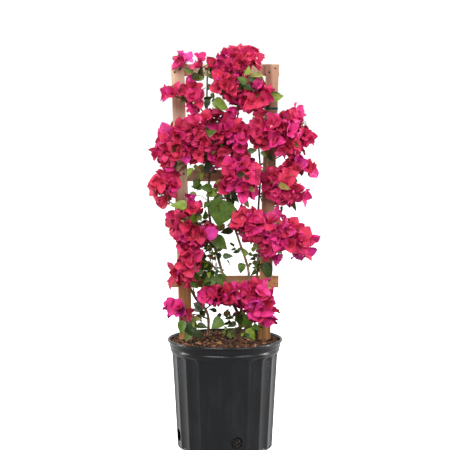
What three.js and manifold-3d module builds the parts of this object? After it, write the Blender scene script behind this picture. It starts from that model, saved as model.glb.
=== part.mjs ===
// A bougainvillea in full bloom, trained up a small wooden trellis that stands in its nursery pot.
// Millimetres, +Z up. The pot's flat underside is at z = 0, centred on the origin, and the front faces -Y.

import * as THREE from "three";
import { mergeVertices } from "three/addons/utils/BufferGeometryUtils.js";
import Module from "manifold-3d";

const wasm = await Module();
wasm.setup();
const { Manifold } = wasm;

const CLEARANCE = 0.3; // between pieces that touch on the real plant
const DEGREE = Math.PI / 180;
const UP = new THREE.Vector3(0, 0, 1);

// The pot: a ten inch nursery can with a rim over a stepped band, and a wall of shallow scallops
// that meet in upright edges.
const POT_HEIGHT = 241;
const POT_RIM_RADIUS = 127;
const POT_BAND_RADIUS = 122.5;
const POT_RIDGE_RADIUS = 120;
const POT_SHOULDER_RADIUS = 117.5; // top of the scalloped wall
const POT_FOOT_RADIUS = 105.5; // bottom of the scalloped wall
const POT_WALL = 3.5;
const POT_FLOOR = 3;
const POT_INNER_SIDES = 30;
const RIM_DEPTH = 5; // from the pot's top down to the underside of the rim
const BAND_DEPTH = 18; // down to the foot of the band
const WALL_DEPTH = 28; // down to the top of the scallops
const STEP_RISE = 2; // of the slope under the rim and under the band
const FOOT_INSET = 3.5; // of the underside's edge, inside the foot of the wall
const FOOT_RISE = 5;
const SCALLOP_COUNT = 20;
const SCALLOP_DEPTH = 2;
const STEPS_PER_SCALLOP = 3; // one corner on the edge, two sunk
const FIRST_EDGE = -10.5 * DEGREE; // of the upright edge left of the front, from -Y towards +X
const DRAIN_COUNT = 4;
const DRAIN_RADIUS = 13.5;
const DRAIN_HEIGHT = 28;
const DRAIN_BIT_LENGTH = 26; // of the cutter that opens a drain hole
const DRAIN_SIDES = 12;
const DRAIN_TURN = 14 * DEGREE; // of the front drain hole, from -Y towards +X

// The root ball that fills the pot.
const SOIL_LEVEL = 236;
const SOIL_GAP = 0.6; // to the pot's wall
const SOIL_EDGE = [5, 3]; // how far its top edge is worn in and down

// The trellis: two slats that spread upwards, and three level rails nailed behind them.
const TRELLIS_TOP = 843;
const SLAT_WIDTH = 28;
const POST_THICKNESS = 14;
const POST_SPREAD = 103; // from the pot's axis to a post's middle, at its top
const POST_LEAN = 1.6 * DEGREE;
const POST_BURIED = 150; // the length of a post under the soil
const RAIL_LENGTH = 237;
const RAIL_THICKNESS = 10;
const RAIL_HEIGHT = 26;
const RAILS = { rail_top: 830, rail_middle: 600, rail_low: 365 }; // height of each rail's middle

// The wood of the plant: [right, back, up] of each bend, and the radius at the foot and at the tip.
// The first two leaders fork from the trunk, and the two side stems have feet of their own.
const STEMS = {
  trunk: {
    foot: 4.4,
    tip: 3.9,
    flare: 2.4,
    bends: [
      [32, -4, SOIL_LEVEL + CLEARANCE],
      [33, -4, 268],
      [31, -4, 292],
    ],
  },
  leader_left: {
    foot: 3.4,
    tip: 1.5,
    flare: 0,
    bends: [
      [30.5, -4.6, 293],
      [9.5, -14, 337],
      [1, -20, 367],
      [-16, -12, 424],
      [-33, -7, 505],
      [-37, -7, 560],
      [-33.5, -12, 600],
      [-34, -12, 660],
      [-39, -8, 750],
      [-38, -16, 838],
    ],
  },
  leader_middle: {
    foot: 3,
    tip: 1.4,
    flare: 0,
    bends: [
      [32.4, -5.8, 293.2],
      [47, -22, 348],
      [52, -20, 388],
      [29, -16, 464],
      [12, -20, 520],
      [12, -25, 600],
      [22, -26, 690],
      [30, -26, 760],
      [29, -30, 818],
    ],
  },
  stem_left: {
    foot: 3.3,
    tip: 1.4,
    flare: 1.8,
    bends: [
      [-37, 45, SOIL_LEVEL + CLEARANCE],
      [-40, 44, 290],
      [-66, 38, 325],
      [-88, 30, 380],
      [-96, 26, 500],
      [-98, 26, 600],
      [-102, 22, 720],
      [-102, 26, 849],
    ],
  },
  stem_right: {
    foot: 3.3,
    tip: 1.4,
    flare: 1.8,
    bends: [
      [55, 30, SOIL_LEVEL + CLEARANCE],
      [60, 32, 290],
      [72, 30, 385],
      [76, 30, 430],
      [74, 34, 520],
      [78, 38, 600],
      [70, 36, 700],
      [54, 34, 806],
    ],
  },
};
const LIMB_SIDES = 5;
const LIMB_STEP = 40; // between the rings of a stem
const FLARE_HEIGHT = 9;
const PLACES_LOOKED_AT = 80; // along a limb, for the one that lies nearest to a place

// A side bough from a stem to a mass of blossom.
const BOUGH_ROOT = 1.9;
const BOUGH_TIP = 1.2;
const BOUGH_SIDES = 4;
const BOUGH_STEPS = 4;
const BOUGH_RISE = 22; // from its foot on the stem to its way place
const BOUGH_ENTRY = 0.72; // of the mass's reach, where the bough ends inside it

// Masses of blossom and leaf: the middle and the reach of each as [right, back, up],
// the limb that bears it, its shoots that end in a bloom, and its shoots that end in leaves.
// With tip, the mass grows on from the limb's end, and otherwise from the side of the limb.
// With a way, a side bough leaves the limb and passes that place on the way to the mass.
// With a rear limb, a partner behind the trellis fills the crown from the back.
const MASSES = {
  crest: {
    middle: [32, -34, 852], reach: [58, 50, 44], limb: "leader_middle", tip: true,
    blooms: 10, leaves: 1, rear: "stem_right",
  },
  crest_low: {
    middle: [1, -54, 800], reach: [38, 44, 42], limb: "leader_middle",
    blooms: 6, leaves: 1,
  },
  left_tip: {
    middle: [-97, 8, 866], reach: [27, 36, 26], limb: "stem_left", tip: true,
    blooms: 3, leaves: 1,
  },
  rail_sprig: {
    middle: [-44, -34, 838], reach: [36, 36, 38], limb: "leader_left", tip: true,
    blooms: 2, leaves: 5,
  },
  left_high: {
    middle: [-90, -42, 778], reach: [56, 46, 46], limb: "leader_left",
    way: [-55, -26, 750], blooms: 7, leaves: 1,
  },
  right_high: {
    middle: [60, -42, 776], reach: [53, 50, 46], limb: "leader_middle",
    blooms: 8, leaves: 2, rear: "stem_right",
  },
  left_main: {
    middle: [-112, -32, 670], reach: [56, 54, 66], limb: "stem_left",
    way: [-126, 4, 642], blooms: 9, leaves: 1, rear: "stem_left",
  },
  left_inner: {
    middle: [-34, -48, 688], reach: [52, 50, 72], limb: "leader_left",
    blooms: 9, leaves: 1,
  },
  centre_high: {
    middle: [38, -50, 688], reach: [42, 46, 48], limb: "leader_middle",
    blooms: 6, leaves: 1,
  },
  right_main: {
    middle: [110, -42, 700], reach: [56, 54, 62], limb: "leader_middle",
    way: [56, -32, 655], blooms: 9, leaves: 1, rear: "stem_right",
  },
  right_tip: {
    middle: [170, -6, 694], reach: [42, 46, 52], limb: "stem_right",
    way: [126, 6, 646], blooms: 6, leaves: 0,
  },
  right_small: {
    middle: [168, -2, 621], reach: [38, 40, 36], limb: "stem_right",
    way: [126, 2, 570], blooms: 4, leaves: 0,
  },
  centre: {
    middle: [22, -54, 597], reach: [58, 48, 52], limb: "leader_middle",
    blooms: 8, leaves: 1, rear: "stem_right",
  },
  right_arm: {
    middle: [136, -26, 576], reach: [58, 54, 54], limb: "stem_right",
    way: [124, 2, 540], blooms: 8, leaves: 1, rear: "stem_right",
  },
  left_arm: {
    middle: [-125, -22, 574], reach: [62, 50, 42], limb: "stem_left",
    way: [-124, 2, 545], blooms: 8, leaves: 1, rear: "stem_left",
  },
  big_leaves: {
    middle: [-10, -46, 552], reach: [38, 40, 46], limb: "leader_left",
    blooms: 0, leaves: 5,
  },
  left_flank: {
    middle: [-74, -44, 500], reach: [66, 50, 52], limb: "leader_left",
    way: [-42, -26, 462], blooms: 9, leaves: 2, rear: "stem_left",
  },
  centre_low: {
    middle: [41, -48, 497], reach: [46, 46, 48], limb: "leader_middle",
    blooms: 7, leaves: 0,
  },
  right_flank: {
    middle: [132, -28, 472], reach: [72, 56, 62], limb: "stem_right",
    way: [116, 4, 425], blooms: 10, leaves: 1, rear: "stem_right",
  },
  left_low: {
    middle: [-84, -40, 412], reach: [50, 48, 52], limb: "stem_left",
    way: [-64, -6, 330], blooms: 7, leaves: 1,
  },
  green_middle: {
    middle: [-30, -40, 412], reach: [40, 42, 58], limb: "leader_left",
    blooms: 0, leaves: 9,
  },
  base_middle: {
    middle: [-8, -54, 342], reach: [58, 46, 44], limb: "leader_left",
    blooms: 7, leaves: 1, rear: "stem_left",
  },
  base_right: {
    middle: [76, -50, 334], reach: [54, 50, 58], limb: "leader_middle",
    blooms: 9, leaves: 1, rear: "stem_right",
  },
  base_left: {
    middle: [-97, -40, 304], reach: [44, 46, 46], limb: "stem_left",
    way: [-62, 2, 292], blooms: 6, leaves: 2,
  },
  base_green: {
    middle: [26, -42, 268], reach: [54, 38, 32], limb: "trunk",
    blooms: 0, leaves: 6,
  },
};
const REAR_SIZE = 0.86; // of the front mass, for its partner behind the trellis
const REAR_SHARE = 0.7; // of the front mass's blooms
const REAR_LEAVES = 2;
const REAR_DEPTH = 66; // of its middle, behind the trellis
const REAR_INWARDS = 0.94; // of the front mass's way to the side
const REAR_DROP = 4;
const FRONT_SEED = 101;
const REAR_SEED = 503;
const SEED_STEPS = [7, 11]; // from one front mass, or one rear mass, to the next

// Shoots, blooms and leaves. A bloom is three papery bracts that share a short stalk.
const SHOOT_ROOT = 1.1;
const SHOOT_TIP = 0.8;
const AXIS_ROOT = 2.6; // radius of the stem inside a mass
const AXIS_TIP = 2.2;
const AXIS_BEYOND = 0.3; // of its length, past the mass's middle
const AXIS_SAG = 6;
const SHOOT_SIDES = 3;
const BRACT_LENGTH = 35;
const BRACT_HALF_WIDTH = 0.45; // of its length
const BRACT_OPENING = 64 * DEGREE; // from the bloom's axis
const BRACT_ROOM = 0.64; // of its length, from a bloom's middle to the edge of its mass
const BLOOM_CORE = 1.4;
const LEAF_LENGTH = 32;
const LEAF_HALF_WIDTH = 0.36; // of its length
const LEAF_THICKNESS = 0.9;
const LEAST_FOLLOW = 0.42; // how much a shoot's end looks along its stalk
const LARGE_REACH = 46; // from here up, blooms and leaves are full size
const SPACE_BETWEEN = 0.6; // least space round a shoot, bloom or leaf
const DRAWS_PER_SHOOT = 7;
const TRIES = 60; // shoots planned for each one wanted
const FIRST_DEPTH = 1.1; // of the room in its mass, where the first shoot planned ends
const LAST_DEPTH = 0.25; // and the last
const FIRST_START = 0.3; // of the mass's stem, where the lowest shoots start
const LAST_START = 0.95;
const STALK_PULL = 0.6; // towards the stalk's way, for a bloom or leaf
const OUTWARD_PULL = 0.4; // away from the trellis
const UPWARD_PULL = 0.1;
const SMALLEST = 0.9; // of a bloom's or a leaf's full size
const LARGEST = 1.08;
const MASS_EDGE = 1.1; // of a mass's reach, that no shoot passes

// Materials, by what the piece is made of.
const finish = (color, roughness) => new THREE.MeshStandardMaterial({ color, roughness, metalness: 0 });
const BLACK_PLASTIC = finish(0x25282b, 0.45);
const BARK_MULCH = finish(0x5b3a26, 0.95);
const PINE = finish(0xb98d62, 0.8);
const BARK = finish(0x6d5a49, 0.85);
const BLOSSOM = finish(0xd4286c, 0.6);
const LEAVES = finish(0x4c7029, 0.55);

const vector = (triple) => new THREE.Vector3(...triple);
const mix = THREE.MathUtils.lerp;

/** Turns a closed geometry into a solid. */
function solidOf(geometry) {
  const bare = geometry.clone();
  bare.deleteAttribute("normal");
  bare.deleteAttribute("uv");
  const merged = mergeVertices(bare, 1e-4);
  return new Manifold(
    new wasm.Mesh({
      numProp: 3,
      vertProperties: merged.attributes.position.array,
      triVerts: new Uint32Array(merged.index.array),
    }),
  );
}

/** Turns a solid back into a geometry. */
function geometryOf(solid) {
  const { vertProperties, triVerts } = solid.getMesh();
  return new THREE.BufferGeometry()
    .setAttribute("position", new THREE.BufferAttribute(vertProperties, 3))
    .setIndex(new THREE.BufferAttribute(triVerts, 1));
}

/** A solid from its corners and the corners of each face, counter-clockwise from outside. */
function solidFrom(corners, faces) {
  const geometry = new THREE.BufferGeometry()
    .setFromPoints(corners)
    .setIndex(faces.flat());
  return solidOf(geometry);
}

/** The corners and side faces of a tapering tube along points, open at its tip. */
function tubeShell(points, radii, sides, levelFoot = false, firstAcross = null) {
  const corners = [];
  const faces = [];
  let across = firstAcross;
  points.forEach((point, ring) => {
    const before = points[Math.max(ring - 1, 0)];
    const after = points[Math.min(ring + 1, points.length - 1)];
    const along = after.clone().sub(before).normalize();
    if (levelFoot && ring === 0) along.copy(UP);
    across ??= Math.abs(along.x) < 0.9 ? new THREE.Vector3(1, 0, 0) : new THREE.Vector3(0, 1, 0);
    across = across.clone().addScaledVector(along, -across.dot(along)).normalize();
    const third = along.clone().cross(across);
    for (let side = 0; side < sides; side++) {
      const turn = (2 * Math.PI * side) / sides;
      corners.push(
        point
          .clone()
          .addScaledVector(across, radii[ring] * Math.cos(turn))
          .addScaledVector(third, radii[ring] * Math.sin(turn)),
      );
    }
  });
  for (let ring = 0; ring < points.length - 1; ring++) {
    for (let side = 0; side < sides; side++) {
      const a = ring * sides + side;
      const b = ring * sides + ((side + 1) % sides);
      faces.push([a, b, b + sides], [a, b + sides, a + sides]);
    }
  }
  for (let side = 1; side < sides - 1; side++) faces.push([0, side + 1, side]);
  return { corners, faces };
}

/** A closed, tapering tube along points, with a radius for each of them. */
function taperedTube(points, radii, sides, levelFoot = false) {
  const { corners, faces } = tubeShell(points, radii, sides, levelFoot);
  const last = (points.length - 1) * sides;
  for (let side = 1; side < sides - 1; side++) faces.push([last, last + side, last + side + 1]);
  return solidFrom(corners, faces);
}

/** Turns a profile of [radius, height] round the pot's axis, from an angle on. */
function turned(profile, steps, from = 0) {
  const points = profile.map(([radius, height]) => new THREE.Vector2(radius, height));
  return new THREE.LatheGeometry(points, steps, from);
}

/** The pot's outer form, with its wall pressed in between the upright edges. */
function scallopedBody() {
  const wallTop = POT_HEIGHT - WALL_DEPTH;
  const bandFoot = POT_HEIGHT - BAND_DEPTH;
  const rimFoot = POT_HEIGHT - RIM_DEPTH;
  const foot = [POT_FOOT_RADIUS, FOOT_RISE];
  const shoulder = [POT_SHOULDER_RADIUS, wallTop];
  const outline = [
    [0, 0],
    [POT_FOOT_RADIUS - FOOT_INSET, 0],
    foot,
    shoulder,
    [POT_RIDGE_RADIUS, wallTop + STEP_RISE],
    [POT_RIDGE_RADIUS, bandFoot - STEP_RISE],
    [POT_BAND_RADIUS, bandFoot],
    [POT_BAND_RADIUS, rimFoot - STEP_RISE],
    [POT_RIM_RADIUS, rimFoot],
    [POT_RIM_RADIUS, POT_HEIGHT],
    [0, POT_HEIGHT],
  ];
  const body = turned(outline, SCALLOP_COUNT * STEPS_PER_SCALLOP, FIRST_EDGE);
  const place = body.attributes.position;
  for (let corner = 0; corner < place.count; corner++) {
    const onWall = [foot, shoulder].includes(outline[corner % outline.length]);
    const onEdge = Math.floor(corner / outline.length) % STEPS_PER_SCALLOP === 0;
    if (!onWall || onEdge) continue;
    const radius = Math.hypot(place.getX(corner), place.getZ(corner));
    const share = (radius - SCALLOP_DEPTH) / radius;
    place.setX(corner, place.getX(corner) * share);
    place.setZ(corner, place.getZ(corner) * share);
  }
  return body;
}

/** The pot's shell, scalloped outside, with its drain holes. */
function potSolid() {
  const hollow = turned(
    [
      [0, POT_FLOOR],
      [POT_FOOT_RADIUS - POT_WALL, POT_FLOOR],
      [POT_SHOULDER_RADIUS - POT_WALL, POT_HEIGHT - RIM_DEPTH - 1],
      [POT_BAND_RADIUS - 2, POT_HEIGHT + 1],
      [0, POT_HEIGHT + 1],
    ],
    POT_INNER_SIDES,
  );
  const holes = Array.from({ length: DRAIN_COUNT }, (_, hole) => {
    const bit = new THREE.CylinderGeometry(DRAIN_RADIUS, DRAIN_RADIUS, DRAIN_BIT_LENGTH, DRAIN_SIDES);
    bit.translate(0, -POT_FOOT_RADIUS, DRAIN_HEIGHT);
    return bit.rotateZ(DRAIN_TURN + (2 * Math.PI * hole) / DRAIN_COUNT);
  });
  const cutters = [hollow.rotateX(Math.PI / 2), ...holes].map(solidOf);
  return Manifold.difference([solidOf(scallopedBody().rotateX(Math.PI / 2)), ...cutters]);
}

/** A slat as a mesh in its own frame, grown by a margin on every side. */
function slatMesh(name, width, thickness, height, margin = 0) {
  const slat = new THREE.BoxGeometry(width + 2 * margin, thickness + 2 * margin, height + 2 * margin);
  const mesh = new THREE.Mesh(slat, PINE);
  mesh.name = name;
  return mesh;
}

/** A post of the trellis: it leans outwards, and its foot is buried in the root ball. */
function makePost(name, side, margin = 0) {
  const length = (TRELLIS_TOP - SOIL_LEVEL + POST_BURIED) / Math.cos(POST_LEAN);
  const post = slatMesh(name, SLAT_WIDTH, POST_THICKNESS, length, margin);
  const halfRun = (length / 2) * Math.sin(POST_LEAN);
  const halfRise = (length / 2) * Math.cos(POST_LEAN);
  post.position.set(side * (POST_SPREAD - halfRun), 0, TRELLIS_TOP - halfRise);
  post.rotation.y = side * POST_LEAN;
  return post;
}

/** A rail of the trellis, lying flat on the back of both posts. */
function makeRail(name, height) {
  const rail = slatMesh(name, RAIL_LENGTH, RAIL_THICKNESS, RAIL_HEIGHT);
  rail.position.set(0, POST_THICKNESS / 2 + CLEARANCE + RAIL_THICKNESS / 2, height);
  return rail;
}

/** A placed mesh as a solid in the plant's frame. */
function placedSolid(mesh) {
  mesh.updateMatrixWorld(true);
  return solidOf(mesh.geometry.clone().applyMatrix4(mesh.matrixWorld));
}

/** The root ball, with the posts' pockets in it. */
function rootBallSolid(posts) {
  const foot = POT_FLOOR + CLEARANCE;
  const wallRadius = (height) =>
    mix(
      POT_FOOT_RADIUS - POT_WALL,
      POT_SHOULDER_RADIUS - POT_WALL,
      (height - POT_FLOOR) / (POT_HEIGHT - RIM_DEPTH - POT_FLOOR),
    ) - SOIL_GAP;
  const [wornIn, wornDown] = SOIL_EDGE;
  const outline = [
    [0, foot],
    [wallRadius(foot), foot],
    [wallRadius(SOIL_LEVEL - wornDown), SOIL_LEVEL - wornDown],
    [wallRadius(SOIL_LEVEL) - wornIn, SOIL_LEVEL],
    [0, SOIL_LEVEL],
  ];
  const filling = turned(outline, POT_INNER_SIDES).rotateX(Math.PI / 2);
  return Manifold.difference([solidOf(filling), ...posts]);
}

/** A limb of the plant: its bends as a smooth curve, and a radius at each share of the way. */
function makeLimb({ bends, foot, tip, flare }, sides, rings) {
  const curve = new THREE.CatmullRomCurve3(bends.map(vector), false, "centripetal");
  const count = rings ?? Math.max(3, Math.ceil(curve.getLength() / LIMB_STEP));
  const points = curve.getSpacedPoints(count);
  if (flare) points.splice(1, 0, curve.getPointAt(FLARE_HEIGHT / curve.getLength()));
  const radiusAt = (share) => mix(foot, tip, share);
  const radii = points.map((point, ring) =>
    flare && ring === 0 ? foot + flare : radiusAt(curveShare(points, ring)),
  );
  const grown = (margin) => {
    const longer = points.map((point) => point.clone());
    longer[0].addScaledVector(curve.getTangentAt(0), -margin);
    longer.at(-1).addScaledVector(curve.getTangentAt(1), margin);
    return taperedTube(
      longer,
      radii.map((radius) => radius + margin),
      sides,
      Boolean(flare),
    );
  };
  return { curve, points, radiusAt, grown, solid: grown(0) };
}

const curveShare = (points, ring) => ring / (points.length - 1);

/** The share of the way along a limb that lies nearest to a place. */
function nearestShare(limb, place) {
  let best = 0;
  let least = Infinity;
  for (let look = 2; look <= PLACES_LOOKED_AT; look++) {
    const share = look / PLACES_LOOKED_AT;
    const away = limb.curve.getPointAt(share).distanceTo(place);
    if (away < least) {
      least = away;
      best = share;
    }
  }
  return best;
}

/** Numbers from 0 to 1 that are the same on every run. */
function seededNumbers(seed) {
  let state = seed >>> 0;
  return () => {
    state = (state + 0x6d2b79f5) >>> 0;
    let word = state;
    word = Math.imul(word ^ (word >>> 15), word | 1);
    word ^= word + Math.imul(word ^ (word >>> 7), word | 61);
    return ((word ^ (word >>> 14)) >>> 0) / 4294967296;
  };
}

/** How far out of a mass a place is: under 1 inside it. */
function outwardShare(mass, place) {
  const away = place.clone().sub(mass.middle);
  return Math.hypot(away.x / mass.reach.x, away.y / mass.reach.y, away.z / mass.reach.z);
}

/** The stalk of a shoot, open at its tip, with the ring of its tip and the ring's directions. */
function shootStalk({ start, end, facing, across }) {
  const { corners, faces } = tubeShell([start, end], [SHOOT_ROOT, SHOOT_TIP], SHOOT_SIDES, false, across);
  const ring = corners.length - SHOOT_SIDES;
  const spokes = corners.slice(ring).map((corner) => {
    const outward = corner.clone().sub(end);
    return outward.addScaledVector(facing, -outward.dot(facing)).normalize();
  });
  return { corners, faces, ring, spokes };
}

/** A shoot that ends in a bloom: three broad pointed bracts that open round the stalk's tip. */
function bloomShoot(plan) {
  const { corners, faces, ring, spokes } = shootStalk(plan);
  const length = BRACT_LENGTH * plan.size;
  const lift = Math.cos(BRACT_OPENING) * length;
  const out = Math.sin(BRACT_OPENING) * length;
  const at = (along, spoke, outward) =>
    plan.end.clone().addScaledVector(plan.facing, along).addScaledVector(spoke, outward);
  const rim = corners.length;
  spokes.forEach((spoke, bract) => {
    const side = plan.facing.clone().cross(spoke);
    const valley = spokes[(bract + 2) % 3].clone().add(spoke).normalize();
    const shoulder = at(0.55 * lift, spoke, 0.5 * out);
    corners.push(at(0.04 * length, valley, 0.14 * length));
    corners.push(shoulder.clone().addScaledVector(side, -BRACT_HALF_WIDTH * length));
    corners.push(at(lift, spoke, out));
    corners.push(shoulder.clone().addScaledVector(side, BRACT_HALF_WIDTH * length));
  });
  const top = corners.length;
  corners.push(at(BLOOM_CORE, spokes[0], 0));
  for (let corner = 0; corner < 12; corner++) {
    const here = rim + corner;
    const next = rim + ((corner + 1) % 12);
    faces.push([here, next, top], [next, here, ring + Math.floor(corner / 4)]);
  }
  for (let bract = 0; bract < 3; bract++) {
    const next = (bract + 1) % 3;
    faces.push([ring + bract, ring + next, rim + 4 * next]);
  }
  return solidFrom(corners, faces);
}

/** A shoot that ends in a pointed leaf, folded a little along its rib. */
function leafShoot(plan) {
  const { corners, faces, ring, spokes } = shootStalk(plan);
  const length = LEAF_LENGTH * plan.size;
  const above = spokes[0];
  const side = plan.facing.clone().cross(above);
  const at = (forward, sideways, lift) =>
    plan.end
      .clone()
      .addScaledVector(plan.facing, forward * length)
      .addScaledVector(side, sideways * length)
      .addScaledVector(above, lift);
  const [top0, right0, left0] = [ring, ring + 1, ring + 2];
  const right = corners.length;
  const [tip, left, top, under] = [right + 1, right + 2, right + 3, right + 4];
  corners.push(at(0.4, LEAF_HALF_WIDTH, 0.1 * length));
  corners.push(at(1, 0, -0.12 * length));
  corners.push(at(0.4, -LEAF_HALF_WIDTH, 0.1 * length));
  corners.push(at(0.4, 0, LEAF_THICKNESS / 2));
  corners.push(at(0.4, 0, -LEAF_THICKNESS / 2));
  faces.push([right, tip, top], [tip, left, top], [left, left0, top]);
  faces.push([left0, top0, top], [top0, right0, top], [right0, right, top]);
  faces.push([tip, right, under], [left, tip, under], [left0, left, under]);
  faces.push([right0, left0, under], [right, right0, under]);
  return solidFrom(corners, faces);
}

/** The shoots that a mass may grow: where each starts on the axis, where it ends and how it is turned. */
function planShoots(mass, axis) {
  const draw = seededNumbers(mass.seed);
  const count = TRIES * (mass.blooms + mass.leaves);
  const plans = [];
  for (let shoot = 0; shoot < count; shoot++) {
    const [turn, height, tilt, yaw, roll, onAxis, size] = Array.from({ length: DRAWS_PER_SHOOT }, draw);
    const level = Math.sqrt(1 - (2 * height - 1) ** 2);
    const heading = new THREE.Vector3(
      level * Math.cos(2 * Math.PI * turn),
      level * Math.sin(2 * Math.PI * turn),
      2 * height - 1,
    );
    const depth = mix(FIRST_DEPTH, LAST_DEPTH, shoot / count);
    const room = mass.reach.clone().addScalar(-BRACT_ROOM * BRACT_LENGTH * mass.scale);
    const start = axis.getPointAt(mix(FIRST_START, LAST_START, onAxis));
    const end = mass.middle.clone().add(heading.clone().multiply(room).multiplyScalar(depth));
    const stalk = end.clone().sub(start).normalize();
    const outward = OUTWARD_PULL * Math.sign(mass.middle.y);
    const facing = heading
      .clone()
      .add(new THREE.Vector3(tilt - 0.5, outward, yaw - 0.5 + UPWARD_PULL))
      .addScaledVector(stalk, STALK_PULL)
      .normalize();
    if (facing.dot(stalk) < LEAST_FOLLOW) continue;
    const across = new THREE.Vector3(Math.cos(2 * Math.PI * roll), Math.sin(2 * Math.PI * roll), 0.5);
    across.normalize();
    plans.push({ start, end, facing, across, size: mass.scale * mix(SMALLEST, LARGEST, size) });
  }
  return plans;
}

/** True if a solid keeps its distance from every obstacle. */
function isClear(solid, obstacles) {
  const own = solid.boundingBox();
  return obstacles.every((obstacle) => {
    const other = obstacle.boundingBox();
    const apart = [0, 1, 2].some(
      (way) => own.min[way] > other.max[way] + SPACE_BETWEEN || other.min[way] > own.max[way] + SPACE_BETWEEN,
    );
    return apart || solid.minGap(obstacle, 2 * SPACE_BETWEEN) >= SPACE_BETWEEN;
  });
}

/** The largest connected piece of a solid. */
function largestPiece(solid) {
  return solid.decompose().reduce((most, piece) => (piece.volume() > most.volume() ? piece : most));
}

/** The corners of a solid as places. */
function cornersOf(solid) {
  const { vertProperties } = solid.getMesh();
  return Array.from({ length: vertProperties.length / 3 }, (_, corner) =>
    new THREE.Vector3().fromArray(vertProperties, 3 * corner),
  );
}

/** The stem inside a mass: it goes on from its limb, a small step clear of it. */
function massStem(mass, limb, share) {
  const root = limb.curve.getPointAt(share);
  const far = mass.middle.clone().lerp(root, -AXIS_BEYOND);
  const elbow = root.clone().lerp(mass.middle, 0.5).addScaledVector(UP, -AXIS_SAG);
  const curve = new THREE.CatmullRomCurve3([root, elbow, mass.middle, far], false, "centripetal");
  const points = curve.getSpacedPoints(3);
  const radii = points.map((point, ring) => mix(AXIS_ROOT, AXIS_TIP, curveShare(points, ring)));
  const tube = taperedTube(points, radii, SHOOT_SIDES);
  return { curve, solid: largestPiece(tube.subtract(limb.grown(CLEARANCE))) };
}

/** A mass on its stem: shoots with a bloom or a leaf each, as many as find room in the mass's own space. */
function growMass(mass, obstacles) {
  const shoots = [];
  let blooms = 0;
  let leaves = 0;
  for (const plan of planShoots(mass, mass.stem.curve)) {
    if (blooms === mass.blooms && leaves === mass.leaves) break;
    const bears = leaves === mass.leaves || (blooms + 1) * mass.leaves <= (leaves + 1) * mass.blooms;
    const shoot = bears ? bloomShoot(plan) : leafShoot(plan);
    const within = cornersOf(shoot).every((corner) => outwardShare(mass, corner) < MASS_EDGE);
    const crossed = () => shoots.some((other) => other.intersect(shoot).numTri() > 0);
    if (!within || !isClear(shoot, obstacles) || crossed()) continue;
    shoots.push(shoot);
    if (bears) blooms += 1;
    else leaves += 1;
  }
  return largestPiece(Manifold.union([mass.stem.solid, ...shoots]));
}

/** How large blooms and leaves are in a mass: a small mass bears small ones. */
function growthScale(reach) {
  return THREE.MathUtils.clamp(Math.min(...reach) / LARGE_REACH, 0.6, 1);
}

/** Adds a smaller partner behind the trellis for each mass that has one. */
function withRearPartners(masses) {
  const all = [];
  Object.entries(masses).forEach(([name, spec], row) => {
    const { rear, ...front } = spec;
    const scale = growthScale(spec.reach);
    const placed = { middle: vector(spec.middle), reach: vector(spec.reach) };
    all.push({ ...front, ...placed, name, scale, seed: FRONT_SEED + SEED_STEPS[0] * row });
    if (!rear) return;
    const [right, , up] = spec.middle;
    all.push({
      name: `rear_${name}`,
      scale,
      seed: REAR_SEED + SEED_STEPS[1] * row,
      limb: rear,
      blooms: Math.round(REAR_SHARE * spec.blooms),
      leaves: REAR_LEAVES,
      middle: new THREE.Vector3(REAR_INWARDS * right, REAR_DEPTH, up - REAR_DROP),
      reach: vector(spec.reach).multiplyScalar(REAR_SIZE),
    });
  });
  return all;
}

/** A side bough: it leaves its stem, passes its way place and ends inside its mass. */
function makeBough(stem, mass) {
  const way = vector(mass.way);
  const share = nearestShare(stem, way.clone().addScaledVector(UP, -BOUGH_RISE));
  const from = stem.curve.getPointAt(share);
  const outside = Math.max(outwardShare(mass, way), 1);
  const to = mass.middle.clone().lerp(way, BOUGH_ENTRY / outside);
  const bends = [from, way, to].map((place) => place.toArray());
  const bough = makeLimb({ bends, foot: BOUGH_ROOT, tip: BOUGH_TIP, flare: 0 }, BOUGH_SIDES, BOUGH_STEPS);
  const solid = largestPiece(bough.solid.subtract(stem.grown(CLEARANCE)));
  return { ...bough, solid };
}

/** A named group of the plant, and a way to add a solid to it as a mesh. */
function makeSection(name) {
  const group = new THREE.Group();
  group.name = name;
  const add = (nodeName, solid, material) => {
    const mesh = new THREE.Mesh(geometryOf(solid), material);
    mesh.name = nodeName;
    group.add(mesh);
  };
  return { group, add };
}

// The trellis, and the pot with its filling.
const trellis = makeSection("trellis");
const posts = [makePost("post_left", -1), makePost("post_right", 1)];
const rails = Object.entries(RAILS).map(([name, height]) => makeRail(name, height));
trellis.group.add(...posts, ...rails);

const container = makeSection("container");
const pockets = [-1, 1].map((side) => placedSolid(makePost("pocket", side, CLEARANCE)));
const pot = potSolid();
const rootBall = rootBallSolid(pockets);
container.add("pot", pot, BLACK_PLASTIC);
container.add("root_ball", rootBall, BARK_MULCH);

// The trunk, its two leaders and the two side stems. Each leader is cut clear of what it forks from.
const wood = makeSection("wood");
const limbs = {};
for (const [name, spec] of Object.entries(STEMS)) {
  limbs[name] = makeLimb(spec, LIMB_SIDES);
}
const trunkRoom = limbs.trunk.grown(CLEARANCE);
const leaderRoom = limbs.leader_left.grown(CLEARANCE);
limbs.leader_left.solid = largestPiece(limbs.leader_left.solid.subtract(trunkRoom));
limbs.leader_middle.solid = largestPiece(
  limbs.leader_middle.solid.subtract(trunkRoom).subtract(leaderRoom),
);
for (const [name, limb] of Object.entries(limbs)) wood.add(name, limb.solid, BARK);

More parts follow.
